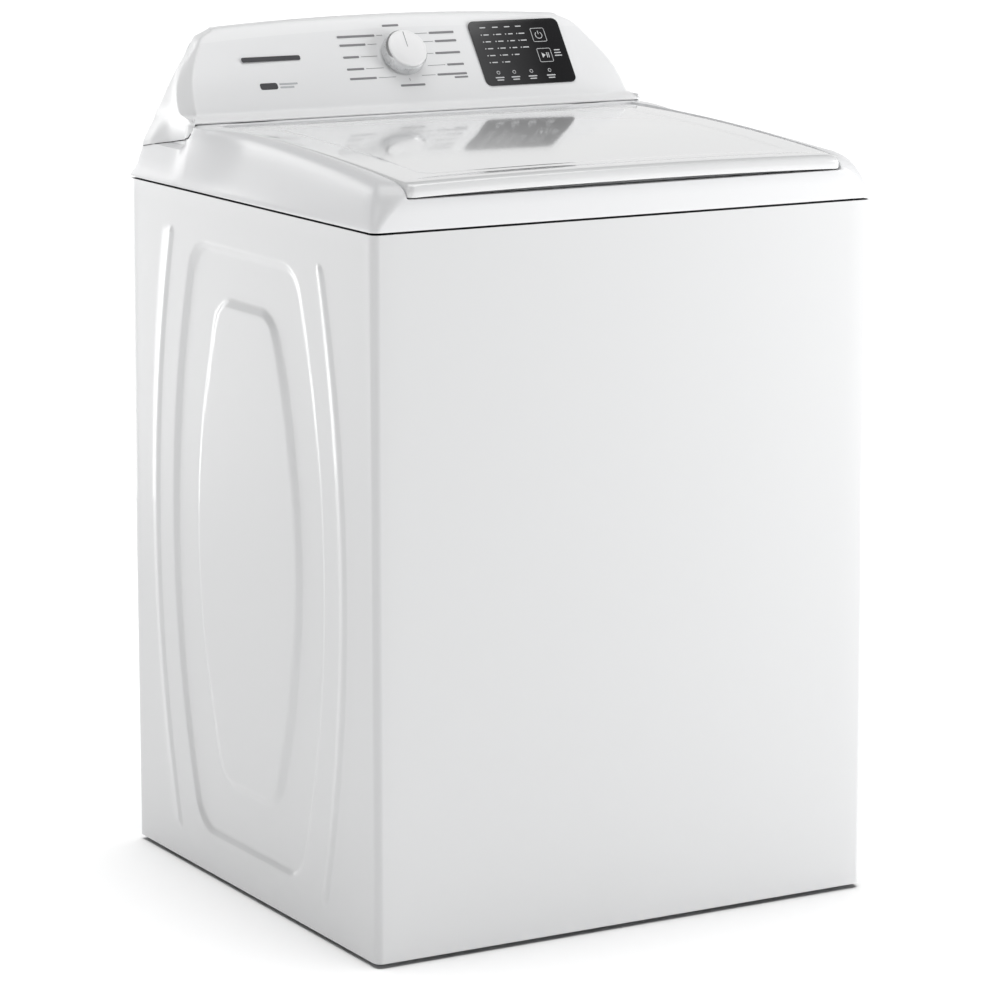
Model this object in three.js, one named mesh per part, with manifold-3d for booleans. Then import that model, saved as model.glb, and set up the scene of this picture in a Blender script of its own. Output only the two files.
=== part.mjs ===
// Top load washing machine with a hinged lid, a slanted control console, a spinning basket inside a
// suspended tub, a lift-out agitator and a belt drive underneath.
// Millimetres, +Z up, +Y towards the back. The origin is on the floor under the middle of the whole box.
import * as THREE from 'three';
import { mergeVertices } from 'three/addons/utils/BufferGeometryUtils.js';
import Module from 'manifold-3d';

const wasm = await Module();
wasm.setup();

// ---------------------------------------------------------------- driving dimensions
const WIDTH = 698;
const DEPTH = 664; // painted cabinet, front to back
const REACH = 708; // the same with the hose ports behind
const HEIGHT = 1080;
const GAP = 0.3; // left between pieces that touch

const SIDE = WIDTH / 2;
const FRONT = -REACH / 2;
const REAR = FRONT + DEPTH;
const PORT_END = REACH / 2;

const SHEET = 0.9; // cabinet steel
const CABINET_BOTTOM = 6;
const CABINET_TOP = 880.5;
const CORNER_RADIUS = 10;
const FLANGE = 25;
const PRESSING_Y = 7; // the ring pressed into each side lies this far behind the wash axis
const PRESSING_DEPTH = 0.7;

const TOP_BOTTOM = 883; // lower edge of the top panel
const TOP_WALL = 3.5;
const DECK_TOP = 905; // floor of the recess that the lid covers
const NOTCH_Z = 919.5; // top of the panel's front wall under the lid's lip
const EDGE_FRONT_Z = 938; // height of the panel's edge beside the lid, at the front
const EDGE_REAR_Z = 961; // and where the console begins
const EDGE_RISE_LENGTH = 480;

const LID_HALF = 302;
const LID_REAR = 135;
const LID_WALL = 1.8;
const LID_GAP = 1.8; // slit round the lid
const LIP_BOTTOM = 921;
const HINGE_Y = 128.5; // close under the lid's rear edge, which turns down into the slit behind it
const HINGE_Z = 954.5;
const HINGE_PIN_R = 3;
const HINGE_BLOCK = 14; // solid corner of the lid round each pin
const LOCK_X = 225;
const LOCK_Y = -322;

const CONSOLE_BASE = EDGE_REAR_Z + GAP;
const CONSOLE_FRONT = 157;
const CREASE_Y = 175; // where the console's shelf meets its sloping face
const CREASE_Z = 971;
const FACE_LEAN = THREE.MathUtils.degToRad(35.1); // of the face, back from upright
const FACE_HALF = 318;
const CONSOLE_WALL = 3;

const TUB_Y = (FRONT + REAR) / 2; // the wash axis stands in the middle of the cabinet
const TUB_R = 292;
const TUB_WALL = 4;
const TUB_FLOOR = 192;
const TUB_TOP = 830;
const BASKET_R = 268;
const BASKET_FLOOR = 226;
const BASKET_TOP = 788;
const BASKET_WALL = 1;
const MOUTH_R = 232;

const ROD_X = 262;
const ROD_Y = 245; // from the wash axis
const ROD_R = 4;
const ROD_BOTTOM = 166;
const BRACE_Z = 845;
const EAR_Z = 262;
const EAR_THICK = 12;

const SHAFT_R = 9;
const PULLEY_Z = 76;
const PULLEY_HEIGHT = 16;
const DRIVE_PULLEY_R = 66;
const MOTOR_PULLEY_R = 18;
const MOTOR_Y = TUB_Y + 172;
const BELT = 3;

const WASH_PLATE_R = 172;
const POST_BOTTOM = 300;
const POST_TOP = 742;
const POST_R = 44;

const FOOT_X = 300;
const FOOT_FRONT = FRONT + 50;
const FOOT_REAR = REAR - 50;
const BASE_Z = 14;

const KNOB_Z = 1029.6; // where the knob's axis meets the face
const KNOB_R = 29;
const KNOB_HEIGHT = 17;
const DISPLAY = { x: 178.5, z: 1025.5, width: 137, height: 98, corner: 9 };

const PORT_Z = 988;
const PORT_X = [-250, -190];
const DRAIN = { x: -275, z: 806 };
const GLAND = { x: 262, z: 812 };

// ---------------------------------------------------------------- geometry helpers
// Turns a closed mesh into a solid with its faces pointing out.
function solid(shape) {
  if (!(shape instanceof THREE.BufferGeometry)) return shape;
  const bare = shape.clone();
  bare.deleteAttribute('normal');
  bare.deleteAttribute('uv');
  const merged = mergeVertices(bare, 1e-4);
  const at = merged.attributes.position.array;
  const corner = (i) => new THREE.Vector3().fromArray(at, 3 * i);
  const faces = [];
  let volume = 0;
  for (let i = 0; i < merged.index.count; i += 3) {
    const [a, b, c] = [0, 1, 2].map((k) => merged.index.getX(i + k));
    if (a === b || b === c || c === a) continue;
    faces.push(a, b, c);
    volume += corner(a).dot(corner(b).cross(corner(c)));
  }
  if (volume < 0) faces.reverse();
  const mesh = new wasm.Mesh({
    numProp: 3,
    vertProperties: new Float32Array(at),
    triVerts: new Uint32Array(faces),
  });
  return new wasm.Manifold(mesh);
}

const join = (...parts) => parts.map(solid).reduce((whole, next) => whole.add(next));
const cut = (body, ...tools) => tools.map(solid).reduce((rest, tool) => rest.subtract(tool), solid(body));
const common = (a, b) => solid(a).intersect(solid(b));

function geometryOf(shape) {
  const mesh = solid(shape).getMesh();
  const geometry = new THREE.BufferGeometry();
  geometry.setAttribute('position', new THREE.BufferAttribute(mesh.vertProperties, 3));
  geometry.setIndex(new THREE.BufferAttribute(mesh.triVerts, 1));
  geometry.computeVertexNormals();
  return geometry;
}

// A box from its lowest and highest x, y and z.
function block(x0, x1, y0, y1, z0, z1) {
  const box = new THREE.BoxGeometry(x1 - x0, y1 - y0, z1 - z0);
  return box.translate((x0 + x1) / 2, (y0 + y1) / 2, (z0 + z1) / 2);
}

function outline(points) {
  if (points instanceof THREE.Shape) return points;
  return new THREE.Shape(points.map(([u, v]) => new THREE.Vector2(u, v)));
}

// Prisms of an outline in (x, y), (y, z) or (x, z), along the third axis.
function prismZ(points, z0, z1, curveSegments = 3) {
  const settings = { depth: z1 - z0, bevelEnabled: false, curveSegments };
  return new THREE.ExtrudeGeometry(outline(points), settings).translate(0, 0, z0);
}

function prismX(points, x0, x1, curveSegments = 3) {
  const turn = new THREE.Matrix4().makeBasis(
    new THREE.Vector3(0, 1, 0),
    new THREE.Vector3(0, 0, 1),
    new THREE.Vector3(1, 0, 0),
  );
  return prismZ(points, x0, x1, curveSegments).applyMatrix4(turn);
}

// An upright cylinder standing at (x, y), from z0 to z1.
function post(x, y, z0, z1, radius, sides = 14) {
  const cylinder = new THREE.CylinderGeometry(radius, radius, z1 - z0, sides);
  return cylinder.rotateX(Math.PI / 2).translate(x, y, (z0 + z1) / 2);
}

// Cylinders lying along X and along Y.
function pinX(x0, x1, y, z, radius, sides = 16) {
  const cylinder = new THREE.CylinderGeometry(radius, radius, x1 - x0, sides);
  return cylinder.rotateZ(Math.PI / 2).translate((x0 + x1) / 2, y, z);
}

function pinY(y0, y1, x, z, radius, sides = 14) {
  return new THREE.CylinderGeometry(radius, radius, y1 - y0, sides).translate(x, (y0 + y1) / 2, z);
}

// A body of revolution about the wash axis, or about another upright axis.
function turned(profile, sides = 30, x = 0, y = TUB_Y) {
  const points = profile.map(([r, z]) => new THREE.Vector2(r, z));
  if (profile[0][0] !== 0) points.push(points[0].clone());
  return new THREE.LatheGeometry(points, sides).rotateX(Math.PI / 2).translate(x, y, 0);
}

// A skin through loops that all have the same number of points, closed by a fan at each end.
function loft(loops) {
  const count = loops[0].length;
  const positions = loops.flat(2);
  const faces = [];
  for (let row = 0; row + 1 < loops.length; row += 1) {
    for (let i = 0; i < count; i += 1) {
      const next = (i + 1) % count;
      const [a, b] = [row * count + i, row * count + next];
      faces.push(a, b, b + count, a, b + count, a + count);
    }
  }
  const last = (loops.length - 1) * count;
  for (let i = 1; i + 1 < count; i += 1) {
    faces.push(0, i + 1, i, last, last + i, last + i + 1);
  }
  const geometry = new THREE.BufferGeometry();
  geometry.setAttribute('position', new THREE.Float32BufferAttribute(positions, 3));
  geometry.setIndex(faces);
  return geometry;
}

function roundedRectangle(x0, x1, y0, y1, radius) {
  const shape = new THREE.Shape();
  shape.moveTo(x0 + radius, y0);
  shape.lineTo(x1 - radius, y0);
  shape.absarc(x1 - radius, y0 + radius, radius, -Math.PI / 2, 0);
  shape.lineTo(x1, y1 - radius);
  shape.absarc(x1 - radius, y1 - radius, radius, 0, Math.PI / 2);
  shape.lineTo(x0 + radius, y1);
  shape.absarc(x0 + radius, y1 - radius, radius, Math.PI / 2, Math.PI);
  shape.lineTo(x0, y0 + radius);
  shape.absarc(x0 + radius, y0 + radius, radius, Math.PI, 1.5 * Math.PI);
  return shape;
}

const CORNERS = [
  { name: 'front_left', x: -1, y: -1 },
  { name: 'front_right', x: 1, y: -1 },
  { name: 'rear_left', x: -1, y: 1 },
  { name: 'rear_right', x: 1, y: 1 },
];

// ---------------------------------------------------------------- materials
function finish(color, roughness, metalness = 0) {
  return new THREE.MeshStandardMaterial({ color, roughness, metalness });
}

const FINISHES = {
  enamel: finish(0xf1f2f3, 0.3),
  whitePlastic: finish(0xeeeff1, 0.32),
  facePlastic: finish(0xe6e7ea, 0.35),
  innerPlastic: finish(0xdfe2e5, 0.45),
  galvanised: finish(0xb4b8bb, 0.45, 0.8),
  stainless: finish(0xc3c6c9, 0.28, 1),
  castAlloy: finish(0xa0a3a6, 0.5, 0.9),
  steel: finish(0x8a8d90, 0.4, 1),
  grayPlastic: finish(0x9aa1a8, 0.5),
  blackPlastic: finish(0x26282b, 0.5),
  rubber: finish(0x1b1b1c, 0.85),
  display: finish(0x2b2c2f, 0.12),
  circuit: finish(0x1f6b3d, 0.5),
};

const machine = new THREE.Group();
machine.name = 'top_load_washer';

function part(name, shape, material) {
  const mesh = new THREE.Mesh(geometryOf(shape), FINISHES[material].clone());
  mesh.name = name;
  machine.add(mesh);
}

// ---------------------------------------------------------------- cabinet
// Barrel-shaped outline of the pressing on each side, in (y, z).
function barrel(halfWidth, waist, z0, z1) {
  const middle = (z0 + z1) / 2;
  const y = TUB_Y + PRESSING_Y;
  const shape = new THREE.Shape();
  shape.moveTo(y - waist, z0);
  shape.lineTo(y + waist, z0);
  shape.quadraticCurveTo(y + 2 * halfWidth - waist, middle, y + waist, z1);
  shape.lineTo(y - waist, z1);
  shape.quadraticCurveTo(y - 2 * halfWidth + waist, middle, y - waist, z0);
  return shape;
}

function cabinetWrap() {
  const plan = roundedRectangle(-SIDE, SIDE, FRONT, REAR + 40, CORNER_RADIUS);
  const inside = SIDE - SHEET;
  const hollow = roundedRectangle(-inside, inside, FRONT + SHEET, REAR + 40, CORNER_RADIUS - SHEET);
  const wall = cut(
    prismZ(plan, CABINET_BOTTOM, CABINET_TOP),
    prismZ(hollow, CABINET_BOTTOM - 1, CABINET_TOP + 1),
    block(-SIDE - 1, SIDE + 1, REAR, REAR + 60, 0, HEIGHT),
  );
  const shelf = cut(
    common(prismZ(plan, CABINET_TOP - SHEET, CABINET_TOP), block(-SIDE, SIDE, FRONT, REAR - 4, 0, HEIGHT)),
    block(-SIDE + 14, SIDE - 14, FRONT + 14, REAR + 1, 0, HEIGHT),
  );
  const rearFlanges = [-1, 1].map((s) => {
    const [a, b] = [s * (SIDE - FLANGE), s * (SIDE - 0.5)];
    return block(Math.min(a, b), Math.max(a, b), REAR - SHEET, REAR, CABINET_BOTTOM, CABINET_TOP);
  });
  const backing = sidePressing(SIDE - SHEET - PRESSING_DEPTH, PRESSING_DEPTH + 0.1);
  return cut(join(wall, shelf, ...rearFlanges, backing), sidePressing(SIDE - PRESSING_DEPTH, 2 * PRESSING_DEPTH));
}

// The pressed ring on both side walls, from a distance off the middle, as deep as given.
function sidePressing(from, depth) {
  const ring = barrel(205, 122, 62, 815);
  ring.holes.push(barrel(140, 72, 136, 752));
  return join(prismX(ring, from, from + depth, 10), prismX(ring, -from - depth, -from, 10));
}

function rearPanel() {
  const y1 = REAR - SHEET - GAP;
  const plate = block(-SIDE + 4, SIDE - 4, y1 - SHEET, y1, CABINET_BOTTOM + 2, CABINET_TOP - 4);
  return cut(
    plate,
    pinY(REAR - 20, REAR, DRAIN.x, DRAIN.z, 17),
    pinY(REAR - 20, REAR, GLAND.x, GLAND.z, 11),
  );
}

function baseFrame() {
  const [x1, y0, y1] = [SIDE - SHEET - 1, FRONT + SHEET + 1, REAR - 8];
  const rim = 48;
  const ring = (inset, radius, z0, z1) => {
    return prismZ(roundedRectangle(-x1 + inset, x1 - inset, y0 + inset, y1 - inset, radius), z0, z1);
  };
  const middle = ring(rim, 40, 0, BASE_Z + 40);
  const tray = cut(ring(0, 14, BASE_Z, BASE_Z + 28), ring(2, 12, BASE_Z + 2.5, BASE_Z + 40), middle);
  const lip = cut(ring(rim - 2, 42, BASE_Z, BASE_Z + 20), middle);
  const bosses = CORNERS.map((c) => post(c.x * FOOT_X, footY(c), BASE_Z, BASE_Z + 16, 13, 10));
  const bores = CORNERS.map((c) => post(c.x * FOOT_X, footY(c), 0, BASE_Z + 40, 6.2, 10));
  return cut(join(tray, lip, ...bosses), ...bores);
}

const footY = (corner) => (corner.y < 0 ? FOOT_FRONT : FOOT_REAR);

function levellingFoot(corner) {
  const profile = [
    [0, 0], [18, 0], [20, 2], [18, 7], [10, 9], [10, 12], [5.6, 12], [5.6, 58], [4.6, 60], [0, 60],
  ];
  return turned(profile, 10, corner.x * FOOT_X, footY(corner));
}

// Gusset in a top corner of the cabinet that a suspension rod hangs from.
function cornerBrace(corner) {
  const x = SIDE - SHEET - 1;
  const inner = x - ROD_X + 26;
  const edgeY = corner.y < 0 ? FRONT + SHEET + 1 : REAR - 8;
  const reach = Math.abs(edgeY - TUB_Y) - ROD_Y + 26;
  const plan = [
    [corner.x * (x - 10), edgeY],
    [corner.x * (x - 10 - inner), edgeY],
    [corner.x * (x - inner), edgeY - corner.y * reach],
    [corner.x * x, edgeY - corner.y * (reach + 20)],
    [corner.x * x, edgeY - corner.y * 10],
  ];
  const [rodX, rodY] = [corner.x * ROD_X, TUB_Y + corner.y * ROD_Y];
  return cut(
    join(prismZ(plan, BRACE_Z, BRACE_Z + 3), post(rodX, rodY, BRACE_Z - 6, BRACE_Z + 1, 13)),
    post(rodX, rodY, BRACE_Z - 10, BRACE_Z + 10, 6),
  );
}

function suspensionRod(corner) {
  const top = BRACE_Z + 3 + GAP;
  const profile = [
    [0, ROD_BOTTOM], [20, ROD_BOTTOM], [20, ROD_BOTTOM + 5], [ROD_R, ROD_BOTTOM + 5],
    [ROD_R, top], [11, top], [12, top + 5], [8, top + 13], [0, top + 15],
  ];
  return turned(profile, 10, corner.x * ROD_X, TUB_Y + corner.y * ROD_Y);
}

class Helix extends THREE.Curve {
  constructor(radius, height, turns) {
    super();
    Object.assign(this, { radius, height, turns });
  }

  getPoint(t, target = new THREE.Vector3()) {
    const angle = 2 * Math.PI * this.turns * t;
    return target.set(this.radius * Math.cos(angle), this.radius * Math.sin(angle), this.height * t);
  }
}

function suspensionSpring(corner) {
  const wire = 2.6;
  const low = ROD_BOTTOM + 5 + GAP + wire;
  const high = EAR_Z - GAP - wire;
  const turns = 4;
  const section = new THREE.Shape(new THREE.EllipseCurve(0, 0, wire, wire).getPoints(4).slice(0, 4));
  const settings = { steps: turns * 8, extrudePath: new Helix(14, high - low, turns), curveSegments: 1 };
  const coil = new THREE.ExtrudeGeometry(section, settings);
  return coil.translate(corner.x * ROD_X, TUB_Y + corner.y * ROD_Y, low);
}

// ---------------------------------------------------------------- top panel
// Height of the panel's edge at a distance behind the front.
function edgeHeight(back) {
  const left = Math.max(0, 1 - back / EDGE_RISE_LENGTH);
  return EDGE_REAR_Z - (EDGE_REAR_Z - EDGE_FRONT_Z) * left * left;
}

// Loop across the panel, in x and z, at a distance behind the front. A wall makes it the hollow's.
function panelLoop(back, wall = 0) {
  const t = back / DEPTH;
  const rim = [
    [SIDE, TOP_BOTTOM - (wall ? 6 : 0)],
    [346 - 6 * t, 898],
    [338 - 6 * t, 918],
    [330 - 5 * t, 930 + 4 * t],
    [316 - 3 * t, edgeHeight(back)],
  ];
  const half = rim.map(([x, z], i) => {
    const radius = CORNER_RADIUS + (25 * i) / (rim.length - 1);
    const short = Math.max(0, radius - (back - wall));
    const inset = radius - Math.sqrt(radius * radius - short * short);
    const nose = i === rim.length - 1 ? 6 * Math.max(0, 1 - (back - wall) / 10) ** 2 : 0;
    return [x - inset - wall, z - nose - (i ? wall : 0)];
  });
  const mirrored = half.map(([x, z]) => [-x, z]).reverse();
  return [...half, ...mirrored].map(([x, z]) => [x, FRONT + back, z]);
}

function panelBody(wall) {
  const stations = [0, 3, 10, 20, 35, 120, 240, EDGE_RISE_LENGTH, DEPTH - 2 * wall];
  return loft(stations.map((back) => panelLoop(back + wall, wall)));
}

// The wash opening: round, and straight along the console.
function washOpening(radius, straight) {
  const angle = Math.asin((straight - TUB_Y) / radius);
  const shape = new THREE.Shape();
  shape.absarc(0, TUB_Y, radius, Math.PI - angle, 2 * Math.PI + angle);
  return shape;
}

function topPanel() {
  const wallX = LID_HALF + LID_GAP;
  const shell = cut(
    panelBody(0),
    common(panelBody(TOP_WALL), join(
      block(-SIDE, SIDE, FRONT, REAR, 0, DECK_TOP - TOP_WALL),
      block(-SIDE, -wallX - TOP_WALL, FRONT, REAR, 0, HEIGHT),
      block(wallX + TOP_WALL, SIDE, FRONT, REAR, 0, HEIGHT),
      block(-SIDE, SIDE, LID_REAR + LID_GAP + TOP_WALL, REAR, 0, HEIGHT),
    )),
  );
  return cut(
    join(shell, splashRim()),
    block(-wallX, wallX, FRONT + 13, LID_REAR + LID_GAP, DECK_TOP, HEIGHT),
    block(-wallX, wallX, FRONT - 1, FRONT + 14, NOTCH_Z, HEIGHT),
    prismZ(washOpening(228, 112), DECK_TOP - 60, DECK_TOP + 1, 20),
    prismZ(roundedRectangle(-290, -214, -336, -264, 10), DECK_TOP - 60, DECK_TOP + 1),
    block(LOCK_X - 7, LOCK_X + 7, LOCK_Y - 10, LOCK_Y + 6, DECK_TOP - 60, DECK_TOP + 1),
  );
}

// Collar under the deck, round the wash opening.
function splashRim() {
  return prismZ(washOpening(231.5, 115.5), DECK_TOP - 28, DECK_TOP - 1, 20);
}

function bleachDispenser() {
  const [x0, x1, y0, y1] = [-289.5, -214.5, -335.5, -264.5];
  return cut(
    join(
      prismZ(roundedRectangle(x0 + 1, x1 - 1, y0 + 1, y1 - 1, 9), DECK_TOP - 32, DECK_TOP + 2),
      prismZ(roundedRectangle(x0 - 5, x1 + 5, y0 - 4, y1 + 5, 12), DECK_TOP + GAP, DECK_TOP + 3),
    ),
    prismZ(roundedRectangle(x0 + 3.5, x1 - 3.5, y0 + 3.5, y1 - 3.5, 7), DECK_TOP - 29, DECK_TOP + 10),
    post((x0 + x1) / 2, y1 - 14, DECK_TOP - 40, DECK_TOP, 6),
  );
}

// ---------------------------------------------------------------- lid
// Upper line of the lid seen from the side, front to back, as [y, z], lowered by a drop.
function lidTop(drop) {
  const stations = [14, 40, 90, 150, 220, 300, 390, LID_REAR - FRONT - 6];
  const crown = stations.map((back) => [FRONT + back, edgeHeight(back) - 2 - drop]);
  return [[FRONT + 3, EDGE_FRONT_Z - 3.5 - drop], ...crown, [LID_REAR, EDGE_REAR_Z - 6 - drop]];
}

function lidOuter() {
  const side = [[FRONT, LIP_BOTTOM + 8], ...lidTop(0), [LID_REAR, 938], [-322, 921], [FRONT, LIP_BOTTOM]];
  const inner = [
    [FRONT + 10, 900],
    ...lidTop(LID_WALL).slice(1, -1),
    [LID_REAR - 3, EDGE_REAR_Z - 8],
    [LID_REAR - 3, 900],
  ];
  const [x0, x1] = [LID_HALF - HINGE_BLOCK, LID_HALF + 1];
  return cut(
    prismX(side, -LID_HALF, LID_HALF),
    cut(
      prismX(inner, -LID_HALF + LID_WALL, LID_HALF - LID_WALL),
      block(-LID_HALF, -x0, HINGE_Y - 9, LID_REAR, 900, HEIGHT),
      block(x0, LID_HALF, HINGE_Y - 9, LID_REAR, 900, HEIGHT),
    ),
    pinX(-x1, -x0 - 1, HINGE_Y, HINGE_Z, HINGE_PIN_R + 0.4),
    pinX(x0 + 1, x1, HINGE_Y, HINGE_Z, HINGE_PIN_R + 0.4),
  );
}

function lidInner() {
  const top = lidTop(LID_WALL + 6).slice(1, -1);
  const front = FRONT + 17;
  const rear = LID_REAR - 26;
  const crown = top.filter(([y]) => y > front && y < rear);
  const side = [[front, 926], ...crown, [rear, 949], [rear, 938], [front, 917]];
  const hollow = [[front + 3, HEIGHT], [front + 3, 920.5], [rear - 3, 941], [rear - 3, HEIGHT]];
  return cut(prismX(side, -LID_HALF + 6, LID_HALF - 6), prismX(hollow, -LID_HALF + 9, LID_HALF - 9));
}

function lidStrike() {
  const stem = block(LOCK_X - 3, LOCK_X + 3, LOCK_Y - 4, LOCK_Y + 1, 898, 916.5);
  return join(block(LOCK_X - 12, LOCK_X + 12, LOCK_Y - 8, LOCK_Y + 8, 914.5, 917), stem);
}

function lidLock() {
  const top = DECK_TOP - TOP_WALL - GAP;
  return cut(
    block(LOCK_X - 34, LOCK_X + 30, LOCK_Y - 14, LOCK_Y + 16, top - 22, top),
    block(LOCK_X - 7, LOCK_X + 7, LOCK_Y - 10, LOCK_Y + 6, top - 16, top + 5),
  );
}

const lidBumper = (side) => post(side * 286, FRONT + 116, DECK_TOP + GAP, 920.5, 6, 12);

const hingePin = (side) => {
  const ends = [side * (LID_HALF - 11), side * (LID_HALF + LID_GAP - GAP)].sort((a, b) => a - b);
  return pinX(ends[0], ends[1], HINGE_Y, HINGE_Z, HINGE_PIN_R, 16);
};

// ---------------------------------------------------------------- console
const faceY = (z) => CREASE_Y + (z - CREASE_Z) * Math.tan(FACE_LEAN);

function backY(z) {
  return REAR - 2 - 14 * THREE.MathUtils.smoothstep(z, 934, 1000) - Math.max(0, z - 993) * 0.22;
}

// Plan of the console at one height, with rounded wings outside the face. A wall makes it the hollow's.
function consoleLoop({ z, front = faceY(z), slim = 0 }, wall = 0, behind = 0) {
  const t = (z - CREASE_Z) / 100;
  const face = FACE_HALF + 4 * Math.max(0, -10 * t) - 42 * Math.max(0, t) ** 1.7 - slim - wall;
  const wing = face + 12 * Math.max(0, 1 - (t + 0.1) ** 2);
  const wingY = front + wall + (z < CREASE_Z ? 6 : 22);
  const back = backY(z);
  const end = Math.min(wing - 1, 318 - 0.416 * (z - CONSOLE_BASE) - wall - slim);
  const beyond = end - ((wing - end) * behind) / (back - wingY);
  const half = [[face, front + wall * 1.2], [wing, wingY], [beyond, back + behind]];
  const mirrored = half.map(([x, y]) => [-x, y]).reverse();
  return [...half, ...mirrored].map(([x, y]) => [x, y, z]);
}

const CONSOLE_LEVELS = [
  { z: CONSOLE_BASE, front: CONSOLE_FRONT },
  { z: CREASE_Z },
  { z: 1000 },
  { z: 1030 },
  { z: 1050 },
  { z: 1064 },
  { z: 1073, front: 249, slim: 4 },
  { z: HEIGHT, front: 262, slim: 70 },
];

function consoleHollow(wall, behind) {
  const inside = CONSOLE_LEVELS.slice(1, -1).map((level) => ({ ...level, z: level.z - wall }));
  const bottom = { z: CONSOLE_BASE - 1, front: CONSOLE_FRONT + 8 };
  return loft([bottom, ...inside].map((level) => consoleLoop(level, wall, behind)));
}

// Puts a shape made on flat ground onto the console's face: x stays, y runs up the slope, z points out.
function onFace(geometry, x, z, out = 0) {
  const up = new THREE.Vector3(0, Math.sin(FACE_LEAN), Math.cos(FACE_LEAN));
  const normal = new THREE.Vector3(0, -Math.cos(FACE_LEAN), Math.sin(FACE_LEAN));
  const turn = new THREE.Matrix4().makeBasis(new THREE.Vector3(1, 0, 0), up, normal);
  turn.setPosition(new THREE.Vector3(x, faceY(z), z).addScaledVector(normal, out));
  return geometry.applyMatrix4(turn);
}

function consoleFascia() {
  return cut(
    loft(CONSOLE_LEVELS.map((level) => consoleLoop(level))),
    consoleHollow(CONSOLE_WALL, 20),
    onFace(post(0, 0, -20, 20, 5), 0, KNOB_Z),
  );
}

function consoleRearCover() {
  const heights = [CONSOLE_BASE + 1, 980, 1000, 1030, 1050, 1063];
  const near = heights.map((z) => [backY(z) - 4, z]);
  const far = heights.map((z) => [backY(z) - 2, z]).reverse();
  const sheet = prismX([...near, ...far], -SIDE, SIDE);
  const holes = PORT_X.map((x) => pinY(REAR - 40, REAR, x, PORT_Z, 15));
  return cut(common(sheet, consoleHollow(CONSOLE_WALL + 0.5, 20)), ...holes);
}

function displayOverlay() {
  const { x, z, width, height, corner } = DISPLAY;
  const plate = roundedRectangle(-width / 2, width / 2, -height / 2, height / 2, corner);
  return onFace(prismZ(plate, 0, 1.4), x, z, GAP);
}

function controlBoard() {
  return onFace(block(-66, 66, -38, 38, 0, 1.6), DISPLAY.x, DISPLAY.z - 6, -14);
}

function selectorEncoder() {
  const body = join(block(-14, 14, -14, 14, -12, 0), post(0, 0, -1, 2, 4.6));
  return onFace(geometryOf(cut(body, post(0, 0, -9, 5, 3.4))), 0, KNOB_Z, -CONSOLE_WALL - 2.4);
}

function selectorKnob() {
  const profile = [[0, -12], [3, -12], [3, 1], [KNOB_R, 1], [KNOB_R - 2.5, KNOB_HEIGHT - 2.5],
    [KNOB_R - 5, KNOB_HEIGHT], [0, KNOB_HEIGHT]];
  const pointer = block(-0.8, 0.8, 2, KNOB_R - 6, KNOB_HEIGHT - 1, KNOB_HEIGHT + 0.6);
  return onFace(geometryOf(join(turned(profile, 28, 0, 0), pointer)), 0, KNOB_Z);
}

// ---------------------------------------------------------------- water and power fittings
function inletValve() {
  const [x0, x1] = [Math.min(...PORT_X) - 22, Math.max(...PORT_X) + 22];
  const body = block(x0, x1, 252, 284, PORT_Z - 20, PORT_Z + 20);
  const coils = PORT_X.map((x) => post(x, 262, PORT_Z + 19, PORT_Z + 44, 13, 14));
  const ports = PORT_X.map((x) => pinY(283, PORT_END, x, PORT_Z, 13.2));
  const bores = PORT_X.map((x) => pinY(300, PORT_END + 1, x, PORT_Z, 9));
  return cut(join(body, ...coils, ...ports), ...bores);
}

function inletSpout() {
  return cut(
    block(-62, 62, 122, 186, 862, 896),
    block(-57, 57, 126, 181, 850, 891),
    block(-52, 52, 110, 130, 864, 884),
  );
}

function drainOutlet() {
  const tube = join(
    pinY(REAR - 30, PORT_END, DRAIN.x, DRAIN.z, 14),
    pinY(REAR + 1, REAR + 4, DRAIN.x, DRAIN.z, 24),
    pinY(PORT_END - 8, PORT_END - 4, DRAIN.x, DRAIN.z, 16),
  );
  return cut(tube, pinY(REAR - 40, PORT_END + 1, DRAIN.x, DRAIN.z, 11));
}

function cordGland() {
  const bush = join(
    pinY(REAR - 12, REAR + 12, GLAND.x, GLAND.z, 10.5),
    pinY(REAR + 1, REAR + 4, GLAND.x, GLAND.z, 16),
  );
  return cut(bush, pinY(REAR - 20, REAR + 20, GLAND.x, GLAND.z, 5));
}

const pressureSensor = () => join(
  post(250, 262, EDGE_REAR_Z + 2, EDGE_REAR_Z + 20, 22),
  post(250, 262, EDGE_REAR_Z + 19, EDGE_REAR_Z + 32, 6),
);

// ---------------------------------------------------------------- tub
function outerTub() {
  const inner = TUB_R - TUB_WALL;
  const shell = turned([
    [38, TUB_FLOOR], [60, TUB_FLOOR], [250, TUB_FLOOR + 8], [TUB_R - 8, TUB_FLOOR + 26],
    [TUB_R, TUB_FLOOR + 60], [TUB_R, TUB_TOP - 10], [TUB_R + 6, TUB_TOP - 8], [TUB_R + 6, TUB_TOP],
    [inner, TUB_TOP], [inner, TUB_FLOOR + 62], [inner - 8, TUB_FLOOR + 31], [248, TUB_FLOOR + 14],
    [60, TUB_FLOOR + 6], [38, TUB_FLOOR + 6],
  ]);
  const bores = CORNERS.map((c) => post(c.x * ROD_X, TUB_Y + c.y * ROD_Y, EAR_Z - 5, EAR_Z + 20, 6));
  return cut(join(shell, ...CORNERS.map(tubEar)), ...bores);
}

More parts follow.
